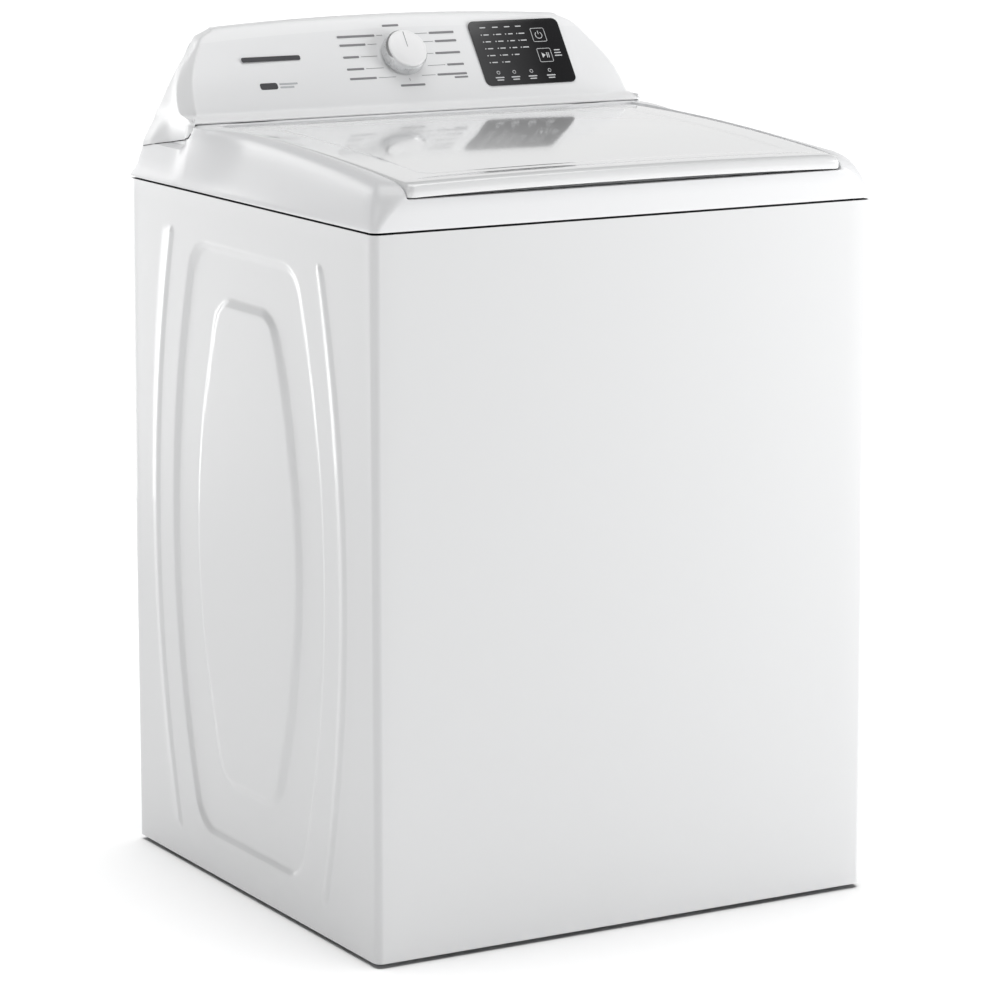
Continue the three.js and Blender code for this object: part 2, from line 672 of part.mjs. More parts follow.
// Arm on the tub that rests on a suspension spring, with a gusset standing on it.
function tubEar(corner) {
  const [x, y] = [corner.x * ROD_X, corner.y * ROD_Y];
  const reach = Math.hypot(x, y);
  const [root, top] = [TUB_R - 3, EAR_Z + EAR_THICK];
  const arm = block(root, reach, -15, 15, EAR_Z, top);
  const web = [[root, top - 1], [root + 48, top - 1], [root, top + 44]];
  const gusset = prismX(web, -2.4, 2.4).rotateZ(-Math.PI / 2);
  const ear = join(arm, gusset, post(reach, 0, EAR_Z, top, 19));
  return geometryOf(ear).rotateZ(Math.atan2(y, x)).translate(0, TUB_Y, 0);
}

const tubRing = () => turned([
  [MOUTH_R + 4, TUB_TOP + 4], [MOUTH_R + 8, TUB_TOP + 4], [TUB_R - 6, TUB_TOP + GAP],
  [TUB_R + 6, TUB_TOP + GAP], [TUB_R + 8, TUB_TOP + 5], [TUB_R - 4, TUB_TOP + 7],
  [MOUTH_R + 10, TUB_TOP + 11], [MOUTH_R + 4, TUB_TOP + 14],
]);

const tubSeal = () => turned([[22, 188], [37.5, 188], [37.5, 202], [30, 202], [22, 197]], 24);

const gearcase = () => turned([
  [10, 104], [52, 104], [60, 110], [78, 112], [78, 168], [96, 172], [110, 174], [110, 180], [30, 180],
  [24, 184], [20.6, 184], [20.6, 160], [10, 160],
], 20);

const basketHub = () => turned([
  [9.6, 162], [20, 162], [20, 210], [40, 212], [120, 218], [120, BASKET_FLOOR - GAP], [9.6, BASKET_FLOOR - GAP],
], 24);

function basket() {
  const inner = BASKET_R - BASKET_WALL;
  return turned([
    [56, BASKET_FLOOR], [120, BASKET_FLOOR], [232, BASKET_FLOOR + 8], [258, BASKET_FLOOR + 24],
    [BASKET_R, BASKET_FLOOR + 52], [BASKET_R, BASKET_TOP], [inner, BASKET_TOP], [inner, BASKET_FLOOR + 52.5],
    [257.4, BASKET_FLOOR + 25], [231.7, BASKET_FLOOR + 9], [120, BASKET_FLOOR + BASKET_WALL],
    [56, BASKET_FLOOR + BASKET_WALL],
  ]);
}

const balanceRing = () => turned([
  [MOUTH_R, BASKET_TOP + 6], [MOUTH_R + 5, BASKET_TOP + GAP], [BASKET_R, BASKET_TOP + GAP],
  [BASKET_R + 2, BASKET_TOP + 6], [BASKET_R + 2, BASKET_TOP + 30], [BASKET_R - 8, BASKET_TOP + 38],
  [MOUTH_R + 10, BASKET_TOP + 38], [MOUTH_R, BASKET_TOP + 30],
]);

// ---------------------------------------------------------------- drive
const driveShaft = () => turned([[0, 68], [SHAFT_R, 68], [SHAFT_R, 292], [0, 292]], 24);

function driveGroove(radius, sides, x, y, bore) {
  const [z0, z1] = [PULLEY_Z, PULLEY_Z + PULLEY_HEIGHT];
  return turned([
    [bore, z0], [radius + 4, z0], [radius + 4, z0 + 2], [radius, z0 + 2], [radius, z1 - 2],
    [radius + 4, z1 - 2], [radius + 4, z1], [bore, z1],
  ], sides, x, y);
}

function drivePulley() {
  const spokes = [0, 1, 2, 3, 4, 5].map((i) => {
    const angle = (i * Math.PI) / 3;
    return post(42 * Math.cos(angle), TUB_Y + 42 * Math.sin(angle), PULLEY_Z - 5, PULLEY_Z + 30, 12, 6);
  });
  return cut(driveGroove(DRIVE_PULLEY_R, 30, 0, TUB_Y, SHAFT_R + GAP), ...spokes);
}

function motorPulley() {
  const wheel = driveGroove(MOTOR_PULLEY_R, 18, 0, MOTOR_Y, 4);
  return join(wheel, post(0, MOTOR_Y, PULLEY_Z - 2, 116, 5.5, 12));
}

// The belt's loop: the outline round both pulleys, a distance outside their grooves.
function beltOutline(off) {
  const [big, small] = [DRIVE_PULLEY_R + off, MOTOR_PULLEY_R + off];
  const lean = Math.asin((big - small) / (MOTOR_Y - TUB_Y));
  const shape = new THREE.Shape();
  shape.absarc(0, TUB_Y, big, Math.PI - lean, 2 * Math.PI + lean);
  shape.absarc(0, MOTOR_Y, small, lean, Math.PI - lean);
  return shape;
}

function driveBelt() {
  const [z0, z1] = [PULLEY_Z + 2.4, PULLEY_Z + PULLEY_HEIGHT - 2.4];
  return cut(prismZ(beltOutline(0.9 + BELT), z0, z1, 12), prismZ(beltOutline(0.9), z0 - 1, z1 + 1, 12));
}

function motor() {
  const can = turned([[0, 98], [50, 98], [60, 104], [60, 166], [50, 174], [0, 174]], 32, 0, MOTOR_Y);
  const bracket = block(-70, 70, MOTOR_Y - 46, MOTOR_Y + 40, 172, 182);
  return cut(join(can, bracket), post(0, MOTOR_Y, 90, 120, 6.2, 14), post(0, TUB_Y, 150, 190, 112, 36));
}

const shiftActuator = () => join(
  block(-146, -84, TUB_Y - 34, TUB_Y + 22, 118, 160),
  block(-142, -114, TUB_Y - 10, TUB_Y + 10, 158, 186),
);

function drainPump() {
  const [x, y] = [-140, TUB_Y - 150];
  const volute = join(post(x, y, 120, 168, 42, 28), post(x, y, 86, 121, 30, 20));
  const neck = post(x, y, 166, 192, 16, 18);
  return cut(join(volute, neck, pinX(x - 78, x - 30, y - 22, 146, 13)), pinX(x - 79, x - 60, y - 22, 146, 10));
}

// ---------------------------------------------------------------- agitator
function washPlate() {
  const z = BASKET_FLOOR + 3;
  const bore = SHAFT_R + GAP;
  const dish = turned([
    [bore, z + 4], [60, z + 4], [WASH_PLATE_R - 6, z + 6], [WASH_PLATE_R, z + 10], [WASH_PLATE_R - 2, z + 16],
    [120, z + 16], [70, z + 26], [46, z + 50], [30, z + 76], [24, z + 84], [bore, z + 84],
  ]);
  // The vanes run down towards the plate's rim.
  const envelope = turned([
    [0, z + 5], [WASH_PLATE_R - 4, z + 8], [WASH_PLATE_R - 8, z + 18], [90, z + 38], [0, z + 48],
  ]);
  const vanes = [0, 1, 2, 3, 4, 5].map((i) => {
    const vane = prismX([[-9, z + 10], [9, z + 10], [4, z + 40], [-4, z + 40]], 66, WASH_PLATE_R - 10);
    return common(vane.rotateZ((i * Math.PI) / 3).translate(0, TUB_Y, 0), envelope);
  });
  return join(dish, ...vanes);
}

function agitatorPost() {
  const [z0, z1] = [POST_BOTTOM, POST_TOP];
  const body = turned([
    [52, z0 - 8], [62, z0], [60, z0 + 14], [POST_R + 6, z0 + 60], [POST_R, z0 + 140], [POST_R - 4, z1],
    [POST_R - 8, z1], [POST_R - 4, z0 + 140], [POST_R + 2, z0 + 60], [56, z0 + 12], [52, z0],
  ], 18);
  const reach = turned([
    [0, z0], [74, z0], [92, z0 + 60], [78, z0 + 200], [52, z1 - 62], [0, z1 - 62],
  ], 12);
  const fins = [0, 1, 2, 3].map((i) => {
    const fin = prismX([[-3, z0 + 4], [3, z0 + 4], [2, z1 - 60], [-2, z1 - 60]], POST_R - 3, 92);
    return common(fin.rotateZ(Math.PI / 4 + (i * Math.PI) / 2).translate(0, TUB_Y, 0), reach);
  });
  const bore = turned([
    [0, z0 - 20], [52.5, z0 - 20], [52.5, z0 + 10], [POST_R - 6, z0 + 140], [POST_R - 8.5, z1 + 9], [0, z1 + 9],
  ], 18);
  return cut(join(body, ...fins), bore);
}

const agitatorCap = () => turned([
  [0, POST_TOP + GAP], [POST_R - 3, POST_TOP + GAP], [POST_R - 2, POST_TOP + 10],
  [POST_R - 12, POST_TOP + 20], [0, POST_TOP + 24],
], 18);

// ---------------------------------------------------------------- assembly
part('cabinet_wrap', cabinetWrap(), 'enamel');
part('rear_panel', rearPanel(), 'galvanised');
part('base_frame', baseFrame(), 'galvanised');
for (const corner of CORNERS) {
  part(`corner_brace_${corner.name}`, cornerBrace(corner), 'galvanised');
  part(`suspension_rod_${corner.name}`, suspensionRod(corner), 'steel');
  part(`suspension_spring_${corner.name}`, suspensionSpring(corner), 'steel');
  part(`levelling_foot_${corner.name}`, levellingFoot(corner), 'blackPlastic');
}

part('top_panel', topPanel(), 'whitePlastic');
part('bleach_dispenser', bleachDispenser(), 'innerPlastic');
part('lid_lock', lidLock(), 'blackPlastic');
part('lid_hinge_pin_left', hingePin(-1), 'steel');
part('lid_hinge_pin_right', hingePin(1), 'steel');

part('lid_outer', lidOuter(), 'whitePlastic');
part('lid_inner', lidInner(), 'whitePlastic');
part('lid_strike', lidStrike(), 'grayPlastic');
part('lid_bumper_left', lidBumper(-1), 'rubber');
part('lid_bumper_right', lidBumper(1), 'rubber');

part('console_fascia', consoleFascia(), 'facePlastic');
part('console_rear_cover', consoleRearCover(), 'galvanised');
part('display_overlay', displayOverlay(), 'display');
part('control_board', controlBoard(), 'circuit');
part('selector_encoder', selectorEncoder(), 'blackPlastic');
part('selector_knob', selectorKnob(), 'whitePlastic');

part('inlet_valve', inletValve(), 'innerPlastic');
part('inlet_spout', inletSpout(), 'innerPlastic');
part('drain_outlet', drainOutlet(), 'blackPlastic');
part('cord_gland', cordGland(), 'rubber');
part('pressure_sensor', pressureSensor(), 'blackPlastic');

part('outer_tub', outerTub(), 'innerPlastic');
part('tub_ring', tubRing(), 'innerPlastic');
part('tub_seal', tubSeal(), 'rubber');
part('gearcase', gearcase(), 'castAlloy');
part('motor', motor(), 'steel');
part('drive_belt', driveBelt(), 'rubber');
part('shift_actuator', shiftActuator(), 'blackPlastic');
part('drain_pump', drainPump(), 'blackPlastic');

part('motor_pulley', motorPulley(), 'castAlloy');
part('drive_shaft', driveShaft(), 'steel');
part('drive_pulley', drivePulley(), 'castAlloy');
part('wash_plate', washPlate(), 'grayPlastic');

part('basket', basket(), 'stainless');
part('balance_ring', balanceRing(), 'grayPlastic');
part('basket_hub', basketHub(), 'castAlloy');

part('agitator_post', agitatorPost(), 'grayPlastic');
part('agitator_cap', agitatorCap(), 'grayPlastic');

export default machine;
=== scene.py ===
"""Looks of the top load washing machine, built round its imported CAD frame.

Shapes are worked out in millimetres, in the frame's own axes: x right, y back, z up.
"""

import math

import bmesh
import bpy
import numpy as np
from mathutils import Matrix, Vector


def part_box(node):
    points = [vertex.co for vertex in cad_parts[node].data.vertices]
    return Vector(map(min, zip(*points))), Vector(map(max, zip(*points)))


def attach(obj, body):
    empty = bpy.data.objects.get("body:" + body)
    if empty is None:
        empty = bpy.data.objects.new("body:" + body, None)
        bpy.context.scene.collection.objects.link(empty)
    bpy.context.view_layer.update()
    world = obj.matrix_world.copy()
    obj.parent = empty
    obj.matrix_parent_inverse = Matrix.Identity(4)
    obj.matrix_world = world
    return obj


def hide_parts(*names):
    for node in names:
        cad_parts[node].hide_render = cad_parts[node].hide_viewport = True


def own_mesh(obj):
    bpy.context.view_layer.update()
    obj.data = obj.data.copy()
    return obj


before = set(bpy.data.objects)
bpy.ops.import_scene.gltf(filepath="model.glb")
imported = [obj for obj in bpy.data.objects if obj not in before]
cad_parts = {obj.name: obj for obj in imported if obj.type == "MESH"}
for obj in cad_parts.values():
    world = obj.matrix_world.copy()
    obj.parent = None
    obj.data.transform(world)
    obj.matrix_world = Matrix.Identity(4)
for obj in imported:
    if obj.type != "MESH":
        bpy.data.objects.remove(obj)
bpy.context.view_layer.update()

MM = 0.001


# ------------------------------------------------------------------ sizes from the frame
def node_box(node):
    """Lowest and highest corner of a CAD node, in millimetres."""
    low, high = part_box(node)
    return np.array(low) / MM, np.array(high) / MM


def node_centre(node):
    """Middle of a CAD node, seen from above."""
    low, high = node_box(node)
    return (low[0] + high[0]) / 2, (low[1] + high[1]) / 2


CABINET_LOW, CABINET_HIGH = node_box("cabinet_wrap")
PANEL_LOW, PANEL_HIGH = node_box("top_panel")
LID_HIGH = node_box("lid_outer")[1]
CONSOLE_LOW = node_box("console_fascia")[0]
TUB_LOW, TUB_HIGH = node_box("outer_tub")
BASKET_LOW, BASKET_HIGH = node_box("basket")
DISPLAY_LOW, DISPLAY_HIGH = node_box("display_overlay")

SIDE = CABINET_HIGH[0]
FRONT = CABINET_LOW[1]
REAR = CABINET_HIGH[1]
DEPTH = REAR - FRONT
SEAM = PANEL_LOW[2] + 6.0  # lower edge of the top panel's outside
AXIS_Y = (FRONT + REAR) / 2  # the wash axis
EDGE_REAR = PANEL_HIGH[2]
EDGE_DROP = 23.0  # how far the panel's edge falls towards the front
EDGE_RUN = 480.0  # how far back that fall begins
DECK = 905.0  # sunken floor of the top panel, under the lid
NOTCH = 919.5  # bottom of the panel's front edge under the lid's lip
LID_HALF = LID_HIGH[0]
LID_REAR = LID_HIGH[1]
SLIT = 1.8  # gap round the lid
CREASE_Y = 175.0  # foot of the console's leaning face
CREASE_Z = 971.0
CHEEK_FRONT = 160.0  # front end of the console's cheeks
CORNERS = ("front_left", "front_right", "rear_left", "rear_right")
FACE_LEAN = math.radians(35.1)
FACE_UP = np.array([0.0, math.sin(FACE_LEAN), math.cos(FACE_LEAN)])
FACE_OUT = np.array([0.0, -math.cos(FACE_LEAN), math.sin(FACE_LEAN)])
KNOB_Z = 1029.6


def edge_height(y):
    """Height of the top panel's edge beside the lid."""
    left = np.clip(1 - (y - FRONT) / EDGE_RUN, 0, 1)
    return EDGE_REAR - EDGE_DROP * left**2


def smoothstep(a, b, x):
    """Smooth ramp from 0 to 1 between two edges."""
    t = np.clip((x - a) / (b - a), 0, 1)
    return t * t * (3 - 2 * t)


# ------------------------------------------------------------------ mesh tools
def mesh_object(name, points, faces, sharp=35.0):
    """Mesh from points in mm, with doubled points merged."""
    mesh = bpy.data.meshes.new(name)
    places = [tuple(p * MM) for p in np.asarray(points, float)]
    mesh.from_pydata(places, [], [tuple(map(int, f)) for f in faces])
    work = bmesh.new()
    work.from_mesh(mesh)
    bmesh.ops.remove_doubles(work, verts=work.verts, dist=1e-6)
    bmesh.ops.dissolve_degenerate(work, edges=work.edges, dist=1e-7)
    bmesh.ops.recalc_face_normals(work, faces=work.faces)
    work.to_mesh(mesh)
    work.free()
    obj = bpy.data.objects.new(name, mesh)
    bpy.context.scene.collection.objects.link(obj)
    smooth(obj, sharp)
    return obj


def smooth(obj, sharp=35.0):
    """Smooth shading, with edges sharper than an angle kept."""
    obj.data.shade_smooth()
    obj.data.set_sharp_from_angle(angle=math.radians(sharp))


def modify(obj, kind, **settings):
    """Adds a modifier and applies it at once."""
    modifier = obj.modifiers.new(kind, kind)
    for key, value in settings.items():
        setattr(modifier, key, value)
    graph = bpy.context.evaluated_depsgraph_get()
    graph.update()
    result = bpy.data.meshes.new_from_object(obj.evaluated_get(graph), depsgraph=graph)
    obj.modifiers.clear()
    old = obj.data
    obj.data = result
    bpy.data.meshes.remove(old)
    return obj


def thicken(obj, wall, sharp=35.0):
    """Gives an open skin a wall, inward of its faces."""
    modify(obj, "SOLIDIFY", thickness=wall * MM, offset=-1.0, use_even_offset=True)
    smooth(obj, sharp)
    return obj


def boolean(obj, operation, *tools, sharp=35.0):
    """Applies one boolean operation with each tool in turn, and removes the tools."""
    for tool in tools:
        modify(obj, "BOOLEAN", operation=operation, object=tool, solver="EXACT")
        bpy.data.objects.remove(tool)
    smooth(obj, sharp)
    return obj


def bevelled(obj, width, segments=2, angle=40.0, sharp=35.0):
    """Bevels the edges that are sharper than an angle."""
    modify(
        obj, "BEVEL", width=width * MM, segments=segments, limit_method="ANGLE",
        angle_limit=math.radians(angle), use_clamp_overlap=True, harden_normals=False,
    )
    smooth(obj, sharp)
    return obj


def joined(name, *objects):
    """One object out of several, keeping each one's own materials."""
    meshes = [obj.data for obj in objects]
    work = bmesh.new()
    materials = []
    for mesh in meshes:
        offset = len(work.faces)
        slots = [add_unique(materials, m) for m in mesh.materials] or [0]
        work.from_mesh(mesh)
        work.faces.ensure_lookup_table()
        for face in work.faces[offset:]:
            face.material_index = slots[min(face.material_index, len(slots) - 1)]
    mesh = bpy.data.meshes.new(name)
    work.to_mesh(mesh)
    work.free()
    for material in materials:
        mesh.materials.append(material)
    for obj in objects:
        bpy.data.objects.remove(obj)
    obj = bpy.data.objects.new(name, mesh)
    bpy.context.scene.collection.objects.link(obj)
    return obj


def add_unique(items, item):
    """Index of an item in a list, which it joins if it is new."""
    if item not in items:
        items.append(item)
    return items.index(item)


def skin(rings, closed=True, cap_first=False, cap_last=False):
    """Points and faces of a surface through rings of equally many points."""
    rings = np.asarray(rings, float)
    rows, count, _ = rings.shape
    span = count if closed else count - 1
    faces = []
    for r in range(rows - 1):
        for i in range(span):
            j = (i + 1) % count
            faces.append((r * count + i, r * count + j, (r + 1) * count + j, (r + 1) * count + i))
    if cap_first:
        faces.append(tuple(range(count))[::-1])
    if cap_last:
        faces.append(tuple(range((rows - 1) * count, rows * count)))
    return rings.reshape(-1, 3), faces


def turned(name, profile, sides=96, centre=(0.0, None), closed=True, sharp=30.0):
    """A body of revolution about an upright axis. An open profile starts and ends on the axis."""
    cx = centre[0]
    cy = AXIS_Y if centre[1] is None else centre[1]
    angles = np.linspace(0, 2 * math.pi, sides, endpoint=False)
    profile = list(profile) + ([profile[0]] if closed else [])
    rings = [
        np.stack([cx + r * np.cos(angles), cy + r * np.sin(angles), np.full(sides, float(z))], 1)
        for r, z in profile
    ]
    points, faces = skin(rings)
    return mesh_object(name, points, faces, sharp)


def rounded(profile, radius, steps=4):
    """The same closed outline with its corners rounded."""
    profile = [np.array(p, float) for p in profile]
    result = []
    for i, here in enumerate(profile):
        before, after = profile[i - 1], profile[(i + 1) % len(profile)]
        room = min(np.linalg.norm(before - here), np.linalg.norm(after - here)) * 0.45
        cut = min(radius, room)
        a = here + (before - here) / np.linalg.norm(before - here) * cut
        b = here + (after - here) / np.linalg.norm(after - here) * cut
        for t in np.linspace(0, 1, steps):
            result.append((1 - t) ** 2 * a + 2 * t * (1 - t) * here + t * t * b)
    return [tuple(p) for p in result]


def prism(name, outline, low, high, axes=(0, 1, 2), sharp=35.0):
    """An outline in the first two axes, drawn out along the third."""
    rings = []
    for level in (low, high):
        ring = np.zeros((len(outline), 3))
        ring[:, axes[0]] = [p[0] for p in outline]
        ring[:, axes[1]] = [p[1] for p in outline]
        ring[:, axes[2]] = level
        rings.append(ring)
    points, faces = skin(rings, cap_first=True, cap_last=True)
    return mesh_object(name, points, faces, sharp)


def block(name, low, high, bevel=0.0, segments=2):
    """Box between two corners, in mm."""
    outline = [(low[0], low[1]), (high[0], low[1]), (high[0], high[1]), (low[0], high[1])]
    obj = prism(name, outline, low[2], high[2])
    if bevel:
        bevelled(obj, bevel, segments)
    return obj


def rounded_loop(x0, x1, y0, y1, radii, corner_steps=10, side_steps=(16, 20)):
    """A rounded rectangle, anticlockwise. Radii: front left, front right, rear right, rear left."""
    corners = [(x0, y0, 180), (x1, y0, 270), (x1, y1, 0), (x0, y1, 90)]
    points = []
    for i, ((cx, cy, start), r) in enumerate(zip(corners, radii)):
        inward = (1 if cx == x0 else -1, 1 if cy == y0 else -1)
        centre = np.array([cx + inward[0] * r, cy + inward[1] * r])
        arc = np.radians(start + np.linspace(0, 90, corner_steps + 1))
        points += [centre + r * np.array([math.cos(a), math.sin(a)]) for a in arc]
        nx, ny, _ = corners[(i + 1) % 4]
        nr = radii[(i + 1) % 4]
        n_in = (1 if nx == x0 else -1, 1 if ny == y0 else -1)
        last = points[-1]
        steps = side_steps[i % 2]
        if i % 2 == 0:
            target = np.array([nx + n_in[0] * nr, ny])
        else:
            target = np.array([nx, ny + n_in[1] * nr])
        points += [last + (target - last) * k / steps for k in range(1, steps)]
    return np.array(points)


def moved(obj, matrix):
    """Moves the points of a piece by a matrix."""
    obj.data.transform(matrix)
    obj.data.update()
    return obj


def about_axis(obj, angle):
    """Turns a piece drawn round the origin, and carries it to the wash axis."""
    return moved(obj, Matrix.Translation((0, AXIS_Y * MM, 0)) @ Matrix.Rotation(angle, 4, "Z"))


def on_face(obj, x, z, out=0.0):
    """Puts a piece drawn on flat ground onto the console's sloping face."""
    y = CREASE_Y + (z - CREASE_Z) * math.tan(FACE_LEAN)
    turn = Matrix([
        (1, 0, 0, x * MM),
        (0, FACE_UP[1], FACE_OUT[1], (y + out * FACE_OUT[1]) * MM),
        (0, FACE_UP[2], FACE_OUT[2], (z + out * FACE_OUT[2]) * MM),
        (0, 0, 0, 1),
    ])
    return moved(obj, turn)


def show(obj, material, body, slot, *nodes):
    """Gives a piece its material and its body, and hides the CAD nodes it stands for. The slot is not used.
    """
    if material is not None:
        obj.data.materials.clear()
        obj.data.materials.append(material)
    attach(obj, body)
    if nodes:
        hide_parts(*nodes)
    return obj


# ------------------------------------------------------------------ materials
class Nodes:
    """A material's node tree, with short ways to add what these materials use."""

    def __init__(self, name):
        self.material = bpy.data.materials.new(name)
        self.material.use_nodes = True
        self.tree = self.material.node_tree
        self.shader = self.tree.nodes["Principled BSDF"]
        self.place = self.add("ShaderNodeTexCoord").outputs["Object"]

    def add(self, kind, **inputs):
        node = self.tree.nodes.new(kind)
        for key, value in inputs.items():
            node.inputs[key].default_value = value
        return node

    def link(self, out, into):
        self.tree.links.new(out, into)

    def noise(self, scale, detail=3.0, roughness=0.5, stretch=(1, 1, 1)):
        mapping = self.add("ShaderNodeMapping", Scale=stretch)
        self.link(self.place, mapping.inputs["Vector"])
        node = self.add("ShaderNodeTexNoise", Scale=scale, Detail=detail, Roughness=roughness)
        self.link(mapping.outputs["Vector"], node.inputs["Vector"])
        return node.outputs["Fac"]

    def spread(self, value, low, high, start=0.3, end=0.7):
        node = self.add("ShaderNodeMapRange")
        node.inputs["From Min"].default_value = start
        node.inputs["From Max"].default_value = end
        node.inputs["To Min"].default_value = low
        node.inputs["To Max"].default_value = high
        self.link(value, node.inputs["Value"])
        return node.outputs["Result"]

    def blend(self, value, low, high, start=0.3, end=0.7):
        ramp = self.tree.nodes.new("ShaderNodeValToRGB")
        ramp.color_ramp.elements[0].position = start
        ramp.color_ramp.elements[1].position = end
        ramp.color_ramp.elements[0].color = (*low, 1)
        ramp.color_ramp.elements[1].color = (*high, 1)
        self.link(value, ramp.inputs["Fac"])
        return ramp.outputs["Color"]

    def bump(self, height, distance, strength=1.0, under=None):
        node = self.add("ShaderNodeBump", Strength=strength, Distance=distance)
        self.link(height, node.inputs["Height"])
        if under is not None:
            self.link(under, node.inputs["Normal"])
        return node.outputs["Normal"]

    def finish(self, color, roughness, normal=None, metallic=0.0, **sockets):
        for key, value in (("Base Color", color), ("Roughness", roughness)):
            if isinstance(value, bpy.types.NodeSocket):
                self.link(value, self.shader.inputs[key])
            elif key == "Base Color":
                self.shader.inputs[key].default_value = (*value, 1)
            else:
                self.shader.inputs[key].default_value = value
        self.shader.inputs["Metallic"].default_value = metallic
        if normal is not None:
            self.link(normal, self.shader.inputs["Normal"])
        for key, value in sockets.items():
            self.shader.inputs[key.replace("_", " ")].default_value = value
        return self.material


def shade(color, factor):
    """A color made lighter or darker."""
    return tuple(min(1.0, c * factor) for c in color)


def enamel(name, color, roughness=0.24, coat=0.35, peel=0.00001):
    """Baked paint: slow drifts of tone, fine orange peel and a thin clear gloss."""
    n = Nodes(name)
    tone = n.blend(n.noise(1.6, 1), shade(color, 0.996), color, 0.1, 0.9)
    gloss = n.spread(n.noise(5, 1), roughness * 0.96, roughness * 1.04, 0.1, 0.9)
    peel_height = n.noise(160, 1, 0.4)
    return n.finish(tone, gloss, n.bump(peel_height, peel), Coat_Weight=coat, Coat_Roughness=0.06)


def plastic(name, color, roughness=0.35, grain=900.0, depth=0.00004, drift=0.96, **sockets):
    """Moulded plastic: fine grain, faint flow marks and slightly uneven gloss."""
    n = Nodes(name)
    tone = n.blend(n.noise(3, 1), shade(color, drift), color, 0.1, 0.9)
    gloss = n.spread(n.noise(8, 2), roughness * 0.92, roughness * 1.08, 0.1, 0.9)
    fine = n.bump(n.noise(grain, 1, 0.6), depth)
    return n.finish(tone, gloss, fine, **sockets)


def brushed(name, color, roughness=0.3, stretch=(1, 1, 40), scale=30.0, depth=0.00003):
    """Rolled or drawn metal with fine streaks along one direction."""
    n = Nodes(name)
    streak = n.noise(scale, 6, 0.65, stretch)
    tone = n.blend(streak, shade(color, 0.88), shade(color, 1.06))
    gloss = n.spread(streak, roughness * 0.75, roughness * 1.3)
    return n.finish(tone, gloss, n.bump(streak, depth), metallic=1.0)


def galvanised(name, color):
    """Zinc-coated sheet with its crystal spangle."""
    n = Nodes(name)
    cells = n.add("ShaderNodeTexVoronoi", Scale=130.0)
    n.link(n.place, cells.inputs["Vector"])
    gray = n.add("ShaderNodeSeparateColor")
    n.link(cells.outputs["Color"], gray.inputs["Color"])
    tone = n.blend(gray.outputs["Red"], shade(color, 0.93), shade(color, 1.02), 0.1, 0.9)
    gloss = n.spread(gray.outputs["Green"], 0.40, 0.47, 0.1, 0.9)
    return n.finish(tone, gloss, n.bump(n.noise(55, 4), 0.00008), metallic=0.9)


def cast_metal(name, color):
    """Sand- or die-cast metal: coarse skin, dull, a little darker in its pits."""
    n = Nodes(name)
    pits = n.noise(240, 5, 0.7)
    tone = n.blend(pits, shade(color, 0.78), shade(color, 1.05))
    return n.finish(tone, n.spread(pits, 0.62, 0.42), n.bump(pits, 0.00025), metallic=0.9)


def rubber(name, color=(0.022, 0.022, 0.024)):
    """Dull black rubber with a little dust."""
    n = Nodes(name)
    dust = n.blend(n.noise(35, 4), color, shade(color, 1.7))
    return n.finish(dust, n.spread(n.noise(60, 3), 0.7, 0.9), n.bump(n.noise(700, 3), 0.00008))


def display_glass(name):
    """Dark printed overlay with a glossy hard coat, a little paler at its left: painted shade darkens it
    towards its right.
    """
    n = Nodes(name)
    split = n.add("ShaderNodeSeparateXYZ")
    n.link(n.place, split.inputs["Vector"])
    left, right = DISPLAY_LOW[0] * MM, DISPLAY_HIGH[0] * MM
    # Painted shade: the overlay's tone darkens from its left edge towards its right edge.
    painted_shade = n.spread(split.outputs["X"], 0.0, 1.0, left, right)
    tone = n.blend(painted_shade, (0.062, 0.062, 0.064), (0.010, 0.010, 0.011), 0.05, 0.75)
    fine = n.bump(n.noise(1500, 2), 0.000008)
    return n.finish(tone, n.spread(n.noise(20, 3), 0.16, 0.24), fine, Specular_IOR_Level=0.35)


def ink(name, color, roughness=0.5):
    """Screen-printed ink, slightly uneven in density."""
    n = Nodes(name)
    tone = n.blend(n.noise(900, 2), shade(color, 0.9), shade(color, 1.08))
    return n.finish(tone, roughness, n.bump(n.noise(2500, 2), 0.00001))


def circuit(name):
    """Green circuit board with a grid of tracks."""
    n = Nodes(name)
    tracks = n.add("ShaderNodeTexBrick", Scale=220.0)
    n.link(n.place, tracks.inputs["Vector"])
    tracks.inputs["Color1"].default_value = (0.02, 0.14, 0.05, 1)
    tracks.inputs["Color2"].default_value = (0.03, 0.20, 0.08, 1)
    tracks.inputs["Mortar"].default_value = (0.05, 0.30, 0.12, 1)
    return n.finish(tracks.outputs["Color"], n.spread(n.noise(80), 0.3, 0.5))


